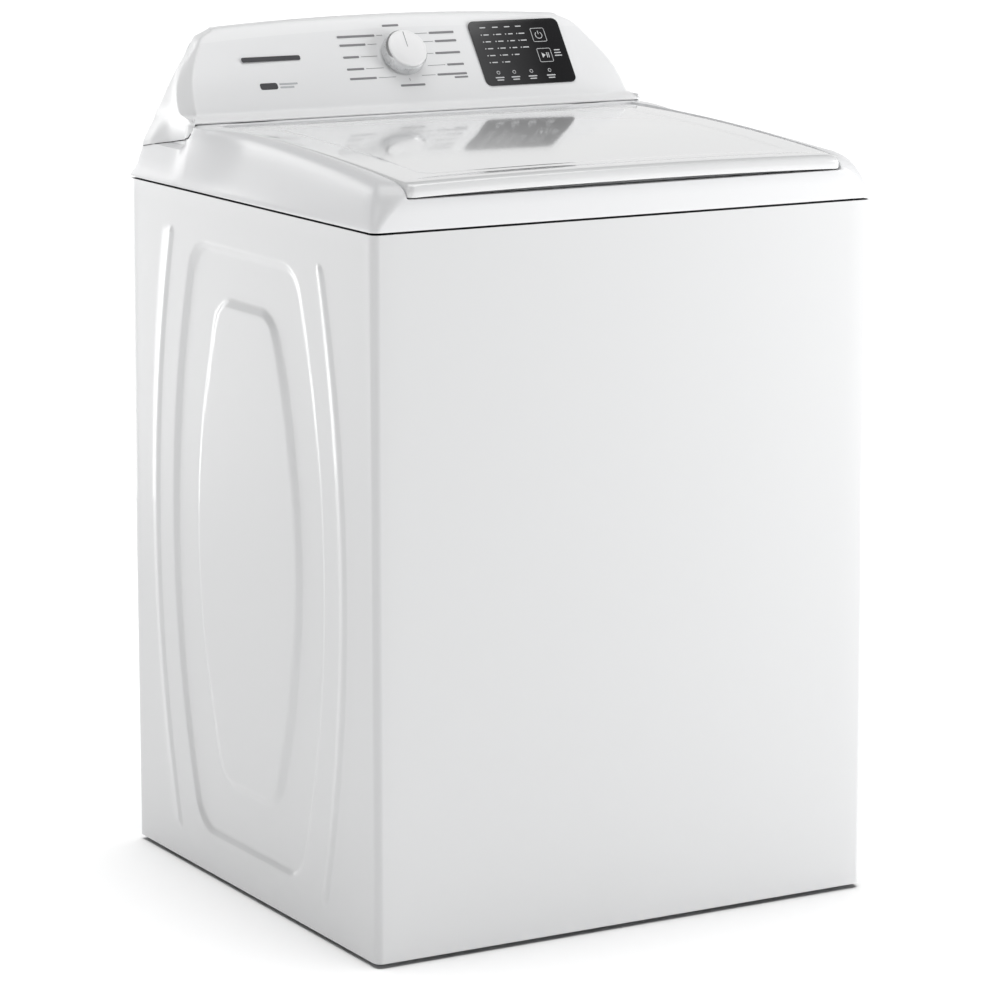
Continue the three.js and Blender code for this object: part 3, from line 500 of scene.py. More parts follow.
MATERIALS = {
    "enamel": enamel("cabinet_enamel", (0.75, 0.755, 0.76), 0.32, 0.3),
    "lid_enamel": enamel("lid_enamel", (0.83, 0.835, 0.84), 0.10, 0.8, 0.000004),
    "white_plastic": plastic("top_plastic", (0.84, 0.845, 0.855), 0.26, 300, 0.000006, 0.996),
    "console_plastic": plastic("console_plastic", (0.88, 0.885, 0.89), 0.30, 300, 0.000006, 0.996),
    "face_film": plastic("face_film", (0.85, 0.855, 0.862), 0.34, 300, 0.000006, 0.996),
    "knob_satin": brushed("knob_satin", (0.74, 0.745, 0.75), 0.24, (1, 1, 1), 30.0, 0.000003),
    "knob_plastic": plastic("knob_plastic", (0.90, 0.90, 0.905), 0.32, 300, 0.000006, 0.996),
    "inner_plastic": plastic("inner_plastic", (0.78, 0.79, 0.80), 0.42, 600),
    "tub_plastic": plastic("tub_plastic", (0.72, 0.74, 0.77), 0.5, 500, 0.00006),
    "gray_plastic": plastic("agitator_plastic", (0.36, 0.41, 0.48), 0.38, 600, 0.00005),
    "black_plastic": plastic("black_plastic", (0.025, 0.025, 0.028), 0.45, 500, 0.00006),
    "galvanised": galvanised("galvanised_sheet", (0.66, 0.68, 0.70)),
    "stainless": brushed("stainless_basket", (0.72, 0.73, 0.74), 0.27, (1, 1, 60)),
    "cast_alloy": cast_metal("cast_alloy", (0.55, 0.56, 0.58)),
    "steel": brushed("drawn_steel", (0.50, 0.51, 0.53), 0.35, (30, 30, 1)),
    "rubber": rubber("rubber"),
    "display": display_glass("display_overlay"),
    "circuit_board": circuit("circuit_board"),
    "print_gray": ink("print_gray", (0.24, 0.24, 0.25)),
    "print_dark": ink("print_dark", (0.05, 0.05, 0.055)),
    "print_pale": ink("print_pale", (0.50, 0.51, 0.53)),
    "print_white": ink("print_white", (0.62, 0.63, 0.64)),
    "print_blue": plastic("port_blue", (0.05, 0.14, 0.42), 0.45),
    "print_red": plastic("port_red", (0.42, 0.05, 0.05), 0.45),
}


# ------------------------------------------------------------------ camera, floor and light
def camera():
    """Camera in front of the machine and to its left."""
    data = bpy.data.cameras.new("camera")
    data.sensor_width = 36
    data.lens = 148.4
    data.clip_end = 100
    obj = bpy.data.objects.new("camera", data)
    bpy.context.scene.collection.objects.link(obj)
    place = Vector((-2.567, -4.511, 1.503))
    yaw, pitch = math.radians(29.86), math.radians(11.19)
    aim = Vector((math.sin(yaw) * math.cos(pitch), math.cos(yaw) * math.cos(pitch), -math.sin(pitch)))
    obj.matrix_world = Matrix.Translation(place) @ aim.to_track_quat("-Z", "Y").to_matrix().to_4x4()
    bpy.context.scene.camera = obj


def floor():
    """Pale floor, with a light of its own so that it stays white around the machine."""
    size = 60000
    points = [(-size, -size, 0), (size, -size, 0), (size, size, 0), (-size, size, 0)]
    obj = mesh_object("floor", np.array(points, float), [(0, 1, 2, 3)])
    n = Nodes("floor")
    tone = n.blend(n.noise(0.6), (0.93, 0.93, 0.93), (0.95, 0.95, 0.95))
    obj.data.materials.append(n.finish(tone, 0.9, Specular_IOR_Level=0.1))
    only_floor = bpy.data.collections.new("floor_only")
    only_floor.objects.link(obj)
    data = bpy.data.lights.new("floor_wash", "SUN")
    data.energy = 3.15
    data.angle = math.radians(60)
    wash = bpy.data.objects.new("floor_wash", data)
    bpy.context.scene.collection.objects.link(wash)
    wash.light_linking.receiver_collection = only_floor
    others = bpy.data.collections.new("all_but_floor")
    others.objects.link(obj)
    others.collection_objects[0].light_linking.link_state = "EXCLUDE"


def area_light(name, place, target, size, radiance):
    """Soft panel that faces its target; its radiance is in the world's own units."""
    data = bpy.data.lights.new(name, "AREA")
    data.shape = "RECTANGLE"
    data.size, data.size_y = size
    data.energy = radiance * math.pi * size[0] * size[1]
    obj = bpy.data.objects.new(name, data)
    bpy.context.scene.collection.objects.link(obj)
    place = Vector(place)
    aim = Vector(target) - place
    obj.matrix_world = Matrix.Translation(place) @ aim.to_track_quat("-Z", "Y").to_matrix().to_4x4()
    obj.visible_camera = False
    obj.light_linking.receiver_collection = bpy.data.collections["all_but_floor"]


def studio():
    """Soft lights round the object, and the backdrop."""
    world = bpy.data.worlds.new("studio")
    world.use_nodes = True
    world.node_tree.nodes["Background"].inputs["Color"].default_value = (1, 1, 1, 1)
    world.node_tree.nodes["Background"].inputs["Strength"].default_value = 0.27
    scene = bpy.context.scene
    scene.world = world
    scene.view_settings.view_transform = "Standard"
    scene.view_settings.look = "None"
    area_light("key", (2.1, -1.5, 0.9), (0.2, 0, 0.45), (1.2, 2.2), 5.3)
    area_light("rear_left", (-0.85, 2.3, 1.1), (-0.3, 0.1, 0.5), (0.7, 2.4), 2.8)
    area_light("upper_left", (-2.4, -0.9, 3.0), (-0.2, 0.1, 0.95), (1.2, 1.2), 1.7)
    area_light("overhead", (0.1, 0.1, 3.4), (0, 0, 0.9), (2.4, 2.0), 2.1)
    area_light("backdrop", (3.4, 7.0, 2.3), (0, 0, 1.0), (9.0, 4.4), 0.60)


# ------------------------------------------------------------------ cabinet
def barrel_height(y, z, half, waist, low, high, corner):
    """Distance inside a barrel-shaped outline, positive inside."""
    middle, reach = (low + high) / 2, (high - low) / 2
    across = waist + (half - waist) * (1 - np.clip(np.abs(z - middle) / reach, 0, 1.2) ** 2)
    dy = np.abs(y) - (across - corner)
    dz = np.abs(z - middle) - (reach - corner)
    outside = np.hypot(np.maximum(dy, 0), np.maximum(dz, 0))
    inside = np.minimum(np.maximum(dy, dz), 0)
    return corner - outside - inside


def bead_height(y, z, middle_at, bow, low, high, width):
    """Height of a long curved bead, from 0 to 1."""
    middle, reach = (low + high) / 2, (high - low) / 2
    t = (z - middle) / reach
    centre = middle_at - bow * t * t
    across = np.abs(y - centre)
    along = np.maximum(np.abs(z - middle) - (reach - width), 0)
    return 1 - smoothstep(width * 0.25, width, np.hypot(across, along))


PRESS_CENTRE = AXIS_Y + 7.0
RING_OUTER = dict(half=205.0, waist=140.0, low=62.0, high=818.0, corner=34.0)
RING_INNER = dict(half=139.0, waist=72.0, low=137.0, high=753.0, corner=26.0)


def side_relief(y, z):
    """How far the side wall stands proud of its lowest plane, at y from the pressing's centre."""
    flank = 4.5
    outer = smoothstep(-flank, flank, barrel_height(y, z, **RING_OUTER))
    inner = smoothstep(-flank, flank, barrel_height(y, z, **RING_INNER))
    ring = outer * (1 - inner)
    rear_bead = bead_height(y, z, 262.0 - 4.0, 56.0, 45.0, 832.0, 9.0)
    front_bead = bead_height(-y, z, 262.0 - 4.0, 56.0, 45.0, 832.0, 9.0)
    return -4.2 * ring + 1.9 * (rear_bead + front_bead)


def refined(low, high, step, spots, fine, reach):
    """Grid lines a step apart, and closer near the given spots."""
    lines = [low]
    while lines[-1] < high:
        near = any(abs(lines[-1] - s) < reach for s in spots)
        lines.append(lines[-1] + (fine if near else step))
    lines = np.array(lines)
    return low + (lines - low) * (high - low) / (lines[-1] - low)


def cabinet_wrap():
    """Front and both sides in one painted sheet, with the pressings in the sides."""
    low, high = CABINET_LOW[2], CABINET_HIGH[2]
    radius, flange = 10.0, 24.0
    z_lines = refined(low, high, 11.0, (62, 137, 753, 818, low, high), 3.6, 26.0)
    edges = (-258, -205, -140, 140, 205, 258)
    side_lines = refined(-DEPTH / 2 + radius, DEPTH / 2 - 4, 7.0, edges, 2.8, 13.0)
    half = []
    for x in np.linspace(SIDE - flange, SIDE - 4, 4):
        half.append((x, DEPTH / 2, 0.0))
    for a in np.radians(np.linspace(90, 0, 5)):
        half.append((SIDE - 4 + 4 * math.cos(a), DEPTH / 2 - 4 + 4 * math.sin(a), 0.0))
    for y in side_lines[::-1][1:]:
        half.append((SIDE, y, 1.0))
    for a in np.radians(np.linspace(0, -90, 9))[1:]:
        half.append((SIDE - radius + radius * math.cos(a), -DEPTH / 2 + radius + radius * math.sin(a), 0.0))
    front = [(x, -DEPTH / 2, 0.0) for x in np.linspace(SIDE - radius, -SIDE + radius, 26)[1:-1]]
    path = half + front + [(-x, y, w) for x, y, w in half[::-1]]
    path = np.array(path)
    rings = []
    bow = 60.0
    for z in z_lines:
        t = (z - 440) / 380
        y = path[:, 1].copy()
        follow = np.clip(np.abs(y) / 120, 0, 1) * np.clip((325 - np.abs(y)) / 50, 0, 1) * path[:, 2]
        y -= np.sign(y) * follow * bow * min(t * t, 1.2) * 0.93
        relief = side_relief(y - (PRESS_CENTRE - AXIS_Y), z) * path[:, 2]
        x = path[:, 0] + np.sign(path[:, 0]) * (relief - 0.4 * path[:, 2])
        rings.append(np.stack([x, y + AXIS_Y, np.full(len(x), z)], 1))
    edge_fade = np.minimum(1, np.minimum(z_lines - low, high - z_lines) / 12)
    for ring, fade in zip(rings, edge_fade):
        ring[:, 0] += np.sign(ring[:, 0]) * 0.4 * path[:, 2] * (1 - fade)
    points, faces = skin(rings, closed=False)
    obj = mesh_object("cabinet_shell", points, faces, 50)
    thicken(obj, 1.2, 50)
    return show(obj, MATERIALS["enamel"], "cabinet", "enamel", "cabinet_wrap")


# ------------------------------------------------------------------ top panel
# Half width and height of the top panel's side, from its seam up to the lid's border.
PANEL_FRONT = [
    (349, 883.2), (348.6, 887), (347.6, 893), (345.6, 900), (342.5, 909.5), (338.6, 918), (334.6, 925),
    (330, 930.6), (325, 934.6), (319.6, 937.2), (313.5, 938.4), (307, 938.6), (300, 938.6),
]
PANEL_REAR = [
    (349, 883.2), (348.5, 886), (344.5, 890), (339.5, 897), (336, 907), (332, 917), (329.5, 926),
    (327, 934), (322.5, 944), (317, 951), (311, 956), (305, 959.6), (298, 960.4),
]
PANEL_NECK = [
    (349, 883.2), (347.2, 887), (344.4, 893), (341.6, 900), (339.0, 909.5), (337.0, 918), (335.4, 926),
    (334.2, 934), (333.2, 943), (332.0, 951), (329.5, 957.2), (323, 959.9), (310, 960.4),
]
# How far back the front stands, and its height, row by row.
PANEL_NOSE = [
    (0, 883.2), (0, 887), (0, 892), (0, 898), (0, 905), (0.2, 912), (1.2, 918.4),
    (3.4, 924.4), (7.0, 929.8), (11.6, 933.8), (17.4, 936.8), (24.5, 938.2), (34, 938.8),
]
PANEL_RADII = [10, 11, 13, 16, 20, 24, 27, 30, 32, 34, 36, 38, 40]


def panel_profile(y, row):
    """Half width and height of one row of the top panel's side, y back from the front to the rear."""
    (xf, zf), (xr, zr), (xn, zn) = PANEL_FRONT[row], PANEL_REAR[row], PANEL_NECK[row]
    t = np.clip((y - FRONT) / DEPTH, 0, 1) ** 0.8
    neck = smoothstep(20, 140, y) * (1 - smoothstep(172, 200, y))
    tuck = smoothstep(172, 205, y) * (1 if zr > 930 else 0)
    lift = edge_height(y) - edge_height(FRONT + 34)
    rise = np.clip(lift / (EDGE_DROP - 3), 0, 1) if zf > 905 else t
    x = xf + (xr - xf) * smoothstep(0, 1, t)
    z = zf + (zr - zf) * rise
    return x + (xn - x) * neck - 8 * tuck, z + (zn - z) * neck * rise - 3 * tuck


def panel_side_x(y, z):
    """Half width of the top panel's side at a place."""
    rows = np.array([panel_profile(float(y), row) for row in range(len(PANEL_FRONT))])
    return float(np.interp(z, rows[:, 1], rows[:, 0]))


def panel_solid(name, wall=0.0):
    """The outside of the top panel, closed below; a wall gives the hollow inside it."""
    rings = []
    for row, ((half_width, _), (ny, nz), radius) in enumerate(zip(PANEL_FRONT, PANEL_NOSE, PANEL_RADII)):
        half = half_width - wall
        radii = (radius, radius, 3, 3)
        loop = rounded_loop(-half, half, FRONT + ny + wall, REAR - wall, radii, 12, (22, 44))
        side_x, side_z = panel_profile(loop[:, 1], row)
        loop[:, 0] *= (side_x - wall) / half
        front = smoothstep(0, 1, np.clip(1 - (loop[:, 1] - FRONT - ny) / max(radius, 1), 0, 1))
        z = side_z * (1 - front) + nz * front
        if wall:
            z -= wall if row else 8
        rings.append(np.stack([loop[:, 0], loop[:, 1], z], 1))
    top = rings[-1]
    for k in (0.75, 0.4, 0.1):
        ring = top.copy()
        ring[:, 0] *= k
        ring[:, 1] = AXIS_Y + (ring[:, 1] - AXIS_Y) * k
        ring[:, 2] = edge_height(ring[:, 1]) - 0.4 - wall
        rings.append(ring)
    points, faces = skin(rings, cap_first=True, cap_last=True)
    return mesh_object(name, points, faces)


def wash_outline(radius, straight, steps=96, power=26):
    """The wash opening seen from above: round, and straight along the console."""
    angles = np.linspace(0, 2 * math.pi, steps, endpoint=False)
    reach = []
    for a in angles:
        flat = (straight - AXIS_Y) / math.sin(a) if math.sin(a) > 0.05 else 1e6
        reach.append((radius**-power + flat**-power) ** (-1 / power))
    return [(r * math.cos(a), AXIS_Y + r * math.sin(a)) for r, a in zip(reach, angles)]


def top_panel():
    """Top panel: rolled rows up its sides, a sunken deck, and the mouth of the wash chamber."""
    panel = panel_solid("top_cover")
    hollow = panel_solid("hollow", 3.0)
    half = LID_HALF + SLIT
    keep_out = block("deck_keep", (-half - 3, FRONT - 9, DECK - 3), (half + 3, LID_REAR + SLIT + 3, 1100))
    boolean(hollow, "DIFFERENCE", keep_out)
    rim = prism("splash_rim", wash_outline(231.5, 115.5), DECK - 28, DECK - 1)
    well = rounded_loop(-half, half, FRONT + 12, LID_REAR + SLIT, (3, 3, 3, 3), 4, (6, 6))
    notch = rounded_loop(-half, half, NOTCH, 1200, (3.5, 3.5, 1, 1), 5, (6, 6))
    boolean(panel, "DIFFERENCE", hollow)
    boolean(panel, "UNION", rim)
    boolean(
        panel, "DIFFERENCE",
        prism("well", well, DECK, 1200),
        prism("notch", notch, FRONT - 5, FRONT + 14, axes=(0, 2, 1)),
        prism("mouth", wash_outline(228, 112), DECK - 80, DECK + 5),
        prism("cup_hole", rounded_loop(-290, -214, -336, -264, (10,) * 4, 5, (4, 4)), DECK - 60, DECK + 5),
        block("lock_slot", (218, -332, DECK - 60), (232, -316, DECK + 5)),
    )
    bevelled(panel, 0.9, 2, 50, 40)
    return show(panel, MATERIALS["white_plastic"], "cabinet", "white_plastic", "top_panel")


# ------------------------------------------------------------------ lid
def lid_surface(x, y):
    """Height of the lid's upper surface: crowned across, and flatter toward its hinge."""
    crown = 3.6 * (1 - np.clip(np.abs(x) / LID_HALF, 0, 1) ** 2.4) * (1 - 0.85 * smoothstep(70, 133, y))
    return edge_height(y) - 2.0 + crown


def lid_outer():
    """Painted lid: a rolled edge, a deeper lip at the front, and a field set in a fine groove."""
    rings = []
    edge = [
        (3.4, 3.2, 14.2, 923.2), (1.0, 1.0, 15.0, 921.2), (0.2, 0.2, 14.2, 921.8), (0, 0, 12.5, 923.4),
        (0, 0, 7.0, 927.5), (0.3, 0.5, 3.6, 931.0), (1.1, 2.0, 1.7, 933.8), (2.6, 4.4, 0.7, 935.8),
        (5.0, 8.0, 0.25, 937.2),
        (8.5, 13.0, 0.05, 938.2), (14, 20, 0, 938.9), (22, 30, 0, 939.4),
    ]
    for side_in, front_in, drop, front_z in edge:
        half = LID_HALF - side_in
        radius = max(9 - side_in * 0.1, 4)
        y0, y1 = FRONT + front_in, LID_REAR - side_in
        loop = rounded_loop(-half, half, y0, y1, (radius,) * 4, 10, (60, 60))
        front = smoothstep(0, 1, np.clip(1 - (loop[:, 1] - y0) / 16, 0, 1))
        side_z = lid_surface(loop[:, 0], loop[:, 1]) - drop
        lip_z = front_z + lid_surface(loop[:, 0], FRONT) - lid_surface(LID_HALF, FRONT)
        z = side_z * (1 - front) + lip_z * front
        rings.append(np.stack([loop[:, 0], loop[:, 1], z], 1))
    for inset in (28, 36, 42, 45, 47, 49, 52, 56, 70, 100, 150, 200, 236):
        radius = max(24 - inset * 0.1, 4)
        half, y0, y1 = LID_HALF - inset, FRONT + inset + 4, LID_REAR - inset
        loop = rounded_loop(-half, half, y0, y1, (min(radius, (y1 - y0) / 2 - 0.5),) * 4, 10, (60, 60))
        z = lid_surface(loop[:, 0], loop[:, 1]) - 0.7 * smoothstep(43, 50, inset)
        rings.append(np.stack([loop[:, 0], loop[:, 1], z], 1))
    points, faces = skin(rings, cap_last=True)
    obj = mesh_object("lid_panel", points, faces, 60)
    thicken(obj, 2.2, 60)
    return show(obj, MATERIALS["lid_enamel"], "lid", "lid_enamel", "lid_outer")


# ------------------------------------------------------------------ console
def face_y(z):
    """Where the console's leaning face stands at a height."""
    return CREASE_Y + (z - CREASE_Z) * math.tan(FACE_LEAN)


def rear_y(z):
    """Where the console's back stands at a height."""
    return REAR - 2 - 14 * smoothstep(934, 1000, z) - np.maximum(0, z - 993) * 0.22


def console_ring(z, front, face, wing, wing_y, end, back, crown=0.0):
    """Plan of the console at one height: face, bevelled wing, end cheek and back."""
    turn = min(7.0, 0.15 * (back - front))
    corner = min(8.0, 0.25 * (back - front))
    half = [(x * (face - 3) / 10, front) for x in range(0, 11)]
    half += [(face - 1.4, front + 0.3), (face, front + 1.4)]
    for t in np.linspace(0.12, 1, 8):
        bulge = math.sin(t * math.pi) * 1.6
        y = front + 1.4 + (wing_y - front - 1.4) * t - bulge * 0.3
        half.append((face + (wing - face) * t + bulge * 0.5, y))
    half += [(wing + 0.2, wing_y + 0.4 * turn), (wing - 0.2, wing_y + turn)]
    for t in np.linspace(0.12, 1, 9):
        half.append((wing + (end - wing) * t, wing_y + turn + (back - corner - wing_y - turn) * t))
    for a in np.radians(np.linspace(15, 90, 6)):
        half.append((end - corner + corner * math.cos(a), back - corner + corner * math.sin(a)))
    half += [(x * (end - corner) / 10, back) for x in range(9, -1, -1)]
    half = np.array(half)
    ring = np.concatenate([half[:-1], (half * [-1, 1])[::-1][:-1]])
    lift = -crown * (np.abs(ring[:, 0]) / 275) ** 2
    return np.stack([ring[:, 0], ring[:, 1], z + lift], 1)


def console_levels():
    """Heights of the console's plans, each with how far back its front stands."""
    base = CONSOLE_LOW[2]
    shelf = [
        (base, 157.0), (base + 1.6, 156.4), (base + 4, 159.5), (base + 7.4, 167.5),
        (CREASE_Z - 1.2, 173.2), (CREASE_Z, 175.2),
    ]
    face_heights = (973.5, 978, 985, 993, 1002, 1011, 1020, 1029, 1038, 1046, 1053, 1059, 1064)
    face = [(z, face_y(z)) for z in face_heights]
    brow = [
        (1068, 243.6), (1071.5, 246.4), (1074.5, 249), (1077, 251.8), (1078.9, 254.6), (1079.8, 257),
        (1080, 259),
    ]
    return shelf + face + brow


def console_body(name, wall=0.0):
    """Outer or inner skin of the console, closed top and bottom."""
    rings = []
    for z, front in console_levels():
        t = (z - CREASE_Z) / 100
        face = 318 + 2 * smoothstep(CREASE_Z, CREASE_Z - 9, z) - 42 * max(0, t) ** 1.75
        near_top = smoothstep(1064, 1080, z)
        face -= 16 * near_top**2
        wing = face + 11.5 * max(0.05, 1 - (t + 0.08) ** 2)
        back = rear_y(z) - 3 * near_top**2
        reach = 4 + 18 * smoothstep(CREASE_Z - 9, CREASE_Z + 3, z)
        wing_y = front + min(reach, 0.3 * (back - front))
        end = min(wing - 0.5, 318 - 0.40 * (z - CONSOLE_LOW[2]))
        crown = 9.5 * smoothstep(1000, 1072, z)
        plan = (front + wall, face - wall, wing - wall, wing_y, end - wall, back - wall)
        rings.append(console_ring(z, *plan, crown))
    top = rings[-1]
    for k in (0.8, 0.4):
        ring = top.copy()
        centre = (top[:, 1].min() + top[:, 1].max()) / 2
        ring[:, 1] = centre + (top[:, 1] - centre) * k
        ring[:, 0] = top[:, 0] * (0.97 + 0.03 * k)
        ring[:, 2] = top[:, 2] + 0.15 * (1 - k)
        rings.append(ring)
    points, faces = skin(rings, cap_last=True, cap_first=True)
    return mesh_object(name, points, faces, 24)


def cheek_seam(v, y):
    """Height of the seam under a cheek, v of the way back and at y, with a small hook at its front."""
    return 945.5 - 23.5 * v + 5 * (1 - smoothstep(CHEEK_FRONT, CHEEK_FRONT + 8, y))


def cheek_rings(side):
    """The skirt under each end of the console, which runs down over the top panel's shoulder."""
    top_z = CONSOLE_LOW[2] + 7
    wing = 318 + 11.5 * (1 - 0.04**2)
    back_x = 318 - 0.40 * 7
    rings = []
    for u in np.linspace(0, 1, 13):
        ring = []
        for v in np.concatenate([[0, 0.006, 0.015, 0.03, 0.05], np.linspace(0.08, 1, 24)]):
            seam_y = CHEEK_FRONT + v * (REAR - 4 - CHEEK_FRONT)
            seam_z = cheek_seam(v, seam_y)
            z = seam_z + (top_z - seam_z) * u
            y = CHEEK_FRONT + v * (rear_y(z) - 3 - CHEEK_FRONT)
            mix = np.clip((y - 175) / (rear_y(top_z) - 8 - 175), 0, 1)
            top_x = wing + (back_x - wing) * mix - 0.4
            low_x = panel_side_x(seam_y, seam_z) + 1.5
            flow = low_x + (top_x - low_x) * smoothstep(0, 1, u) ** 0.8
            on_panel = panel_side_x(y, min(z, 958)) + 0.15
            ring.append((side * (on_panel + (flow - on_panel) * smoothstep(158, 172, y)), y, z))
        rings.append(ring)
    return rings


def console():
    """Console's shell with its two cheeks; the flat of its face carries a printed film."""
    shell = console_body("console_shell")
    hollow = console_body("console_hollow", 3.0)
    moved(hollow, Matrix.Translation((0, 0, -3 * MM)))
    boolean(shell, "DIFFERENCE", hollow)
    cheeks = []
    for side in (-1, 1):
        points, faces = skin(cheek_rings(side), closed=False)
        cheek = mesh_object("cheek", points, faces, 50)
        thicken(cheek, 1.6, 50)
        cheeks.append(cheek)
    smooth(shell, 28)
    shell.data.materials.append(MATERIALS["console_plastic"])
    shell.data.materials.append(MATERIALS["face_film"])
    outward = Vector(FACE_OUT)
    for polygon in shell.data.polygons:
        x, _, z = polygon.center / MM
        reach = 314 - 42 * max(0, (z - CREASE_Z) / 100) ** 1.75
        level = z + 9.5 * smoothstep(1000, 1072, z) * (x / 275) ** 2
        on_film = polygon.normal.dot(outward) > 0.9 and 971.5 < level < 1063.5 and abs(x) < reach
        polygon.material_index = int(on_film)
    for cheek in cheeks:
        cheek.data.materials.append(MATERIALS["console_plastic"])
    obj = joined("console_shell", shell, *cheeks)
    show(obj, None, "cabinet", "console_plastic", "console_fascia")
    console_joint_shade_strip()


def console_joint_shade_strip():
    """Dark strip between each cheek and the top panel's shoulder: painted shade for the shadow line in that
    joint.
    """
    strips = []
    for side in (-1, 1):
        rings = []
        for v in np.concatenate([[0.012, 0.02, 0.03, 0.045, 0.06], np.linspace(0.08, 1, 30)]):
            y = CHEEK_FRONT + v * (REAR - 5 - CHEEK_FRONT)
            z = cheek_seam(v, y)
            section = []
            for dx, dz in ((-2.0, 1.2), (0.5, 1.2), (0.5, -1.0), (-2.0, -1.0)):
                section.append((side * (panel_side_x(y, z + dz) + dx), y, z + dz))
            rings.append(section)
        points, faces = skin(rings, cap_first=True, cap_last=True)
        strips.append(mesh_object("joint_shade_strip", points, faces, 40))
    # The black rubber material on this strip is painted shade for the joint's shadow line.
    show(joined("console_joint_shade_strip", *strips), MATERIALS["rubber"], "cabinet", "rubber")


# ------------------------------------------------------------------ knob and display
def selector_knob():
    """Programme knob on the leaning face."""
    profile = [(0, -11), (2.9, -11), (2.9, 0.8), (25, 0.8)]
    rim = rounded([(20, 0.8), (30.6, 0.8), (29.6, 14.4), (26.2, 19.2), (20, 19.2)], 1.6, 5)
    body = [p for p in rim if p[0] > 20.5]
    profile += body + [(24.2, 18.9), (23.4, 19.25), (12, 19.4), (0, 19.5)]
    knob = turned("knob", profile, 128, (0.0, 0.0), closed=False, sharp=40)
    pointer = block("pointer", (-0.45, 1.5, 18.6), (0.45, 24.0, 19.5))
    pointer.data.materials.append(MATERIALS["print_gray"])
    knob.data.materials.append(MATERIALS["knob_plastic"])
    knob.data.materials.append(MATERIALS["knob_satin"])
    for polygon in knob.data.polygons:
        x, y, z = polygon.center / MM
        polygon.material_index = int(math.hypot(x, y) > 24.4 and 1.0 < z < 18.0)
    whole = joined("knob", knob, pointer)
    on_face(whole, 0, KNOB_Z)
    return show(whole, None, "knob", "knob_plastic", "selector_knob")


def display_overlay():
    """Dark window of the display."""
    low, high = DISPLAY_LOW, DISPLAY_HIGH
    width = high[0] - low[0]
    height = (high[2] - low[2]) / math.cos(FACE_LEAN) - 1.0
    outline = rounded_loop(-width / 2, width / 2, -height / 2, height / 2, (9, 9, 9, 9), 10, (4, 4))
    plate = prism("display_window", outline, 0.0, 1.4)
    bevelled(plate, 0.5, 3, 50)
    on_face(plate, (low[0] + high[0]) / 2, (low[2] + high[2]) / 2, 0.1)
    return show(plate, MATERIALS["display"], "cabinet", "display", "display_overlay")


# ------------------------------------------------------------------ lid's underside
def lid_inner():
    """Moulded tray under the lid: a flange, a rolled step and a raised field with two long ribs."""
    low, high = node_box("lid_inner")
    slope = 21.0 / (high[1] - low[1])
    profile = [
        (0.0, 9.0, 1.0), (0.5, 4.5, 0.6), (0.8, 0.5, 0.0), (3.0, 0.0, 0.0), (16, 0.0, 0.0), (19, 0.6, 0.0),
        (24, 4.2, 0.0), (29, 7.2, 0.0), (34, 8.0, 0.0), (48, 8.0, 0.0), (70, 8.0, 0.0), (95, 8.0, 0.0),
        (130, 8.0, 0.0),
    ]
    rings = []
    for inset, rise, at_lid in profile:
        radius = max(14 + inset * 0.5, 4)
        loop = rounded_loop(
            low[0] + 3 + inset, high[0] - 3 - inset, low[1] + 3 + inset, high[1] - 3 - inset,
            (radius,) * 4, 8, (30, 24),
        )
        base = low[2] + 1.5 + (loop[:, 1] - low[1]) * slope + rise
        under_lid = lid_surface(loop[:, 0], loop[:, 1]) - 11
        ribs = 2.2 * (smoothstep(7, 3, np.abs(loop[:, 0] - 90)) + smoothstep(7, 3, np.abs(loop[:, 0] + 90)))
        ribs = ribs * (inset > 40)
        z = base * (1 - at_lid) + np.maximum(under_lid, base) * at_lid - ribs
        rings.append(np.stack([loop[:, 0], loop[:, 1], z], 1))
    points, faces = skin(rings, cap_last=True)
    obj = mesh_object("lid_tray", points, faces, 45)
    thicken(obj, 2.0, 45)
    return show(obj, MATERIALS["inner_plastic"], "lid", "inner_plastic", "lid_inner")


def turned_piece(name, profile, material, body, node, sides=96, soften=1.0):
    """A closed profile turned about the wash axis, with its corners softened."""
    obj = turned(name, rounded(profile, soften, 4), sides)
    return show(obj, MATERIALS[material], body, material, node)


def lid_fittings():
    """Lock strike under the lid, its rubber bumpers and its hinge pins."""
    low, high = node_box("lid_strike")
    strike = joined(
        "strike",
        block("strike_plate", (low[0], low[1], high[2] - 2.4), high, 1.0),
        block("strike_tongue", (222, -326, low[2]), (228, -321, high[2] - 1), 0.8),
    )
    show(strike, MATERIALS["black_plastic"], "lid", "gray_plastic", "lid_strike")
    for side in ("left", "right"):
        bumper = "lid_bumper_" + side
        bottom, top = (corner[2] for corner in node_box(bumper))
        profile = [(0, bottom), (4.2, bottom), (5.8, bottom + 3), (5.8, top - 2), (4.5, top), (0, top)]
        obj = turned("bumper_" + side, profile, 40, node_centre(bumper), closed=False)
        show(obj, MATERIALS["rubber"], "lid", "rubber", "lid_bumper_" + side)
        low, high = node_box("lid_hinge_pin_" + side)
        section = circle((low[1] + high[1]) / 2, (low[2] + high[2]) / 2, 2.95, 32)
        pin = prism("pin", section, low[0], high[0], (1, 2, 0))
        bevelled(pin, 0.5, 2)
        show(pin, MATERIALS["steel"], "cabinet", "steel", "lid_hinge_pin_" + side)


def circle(u, v, radius, sides=48):
    """Points on a circle in a flat section."""
    angles = np.linspace(0, 2 * math.pi, sides, endpoint=False)
    return [(u + radius * math.cos(a), v + radius * math.sin(a)) for a in angles]


# ------------------------------------------------------------------ console print
def bar(u, v, width, height, lift=0.0, thick=0.16):
    """Small flat mark with rounded ends, on flat ground."""
    radius = min(width, height) * 0.32
    corners = (u - width / 2, u + width / 2, v - height / 2, v + height / 2)
    outline = rounded_loop(*corners, (radius,) * 4, 3, (1, 1))
    return prism("bar", outline, lift, lift + thick)


def dot(u, v, radius, lift=0.0, thick=0.16):
    """Small printed dot."""
    return prism("dot", circle(u, v, radius, 16), lift, lift + thick)


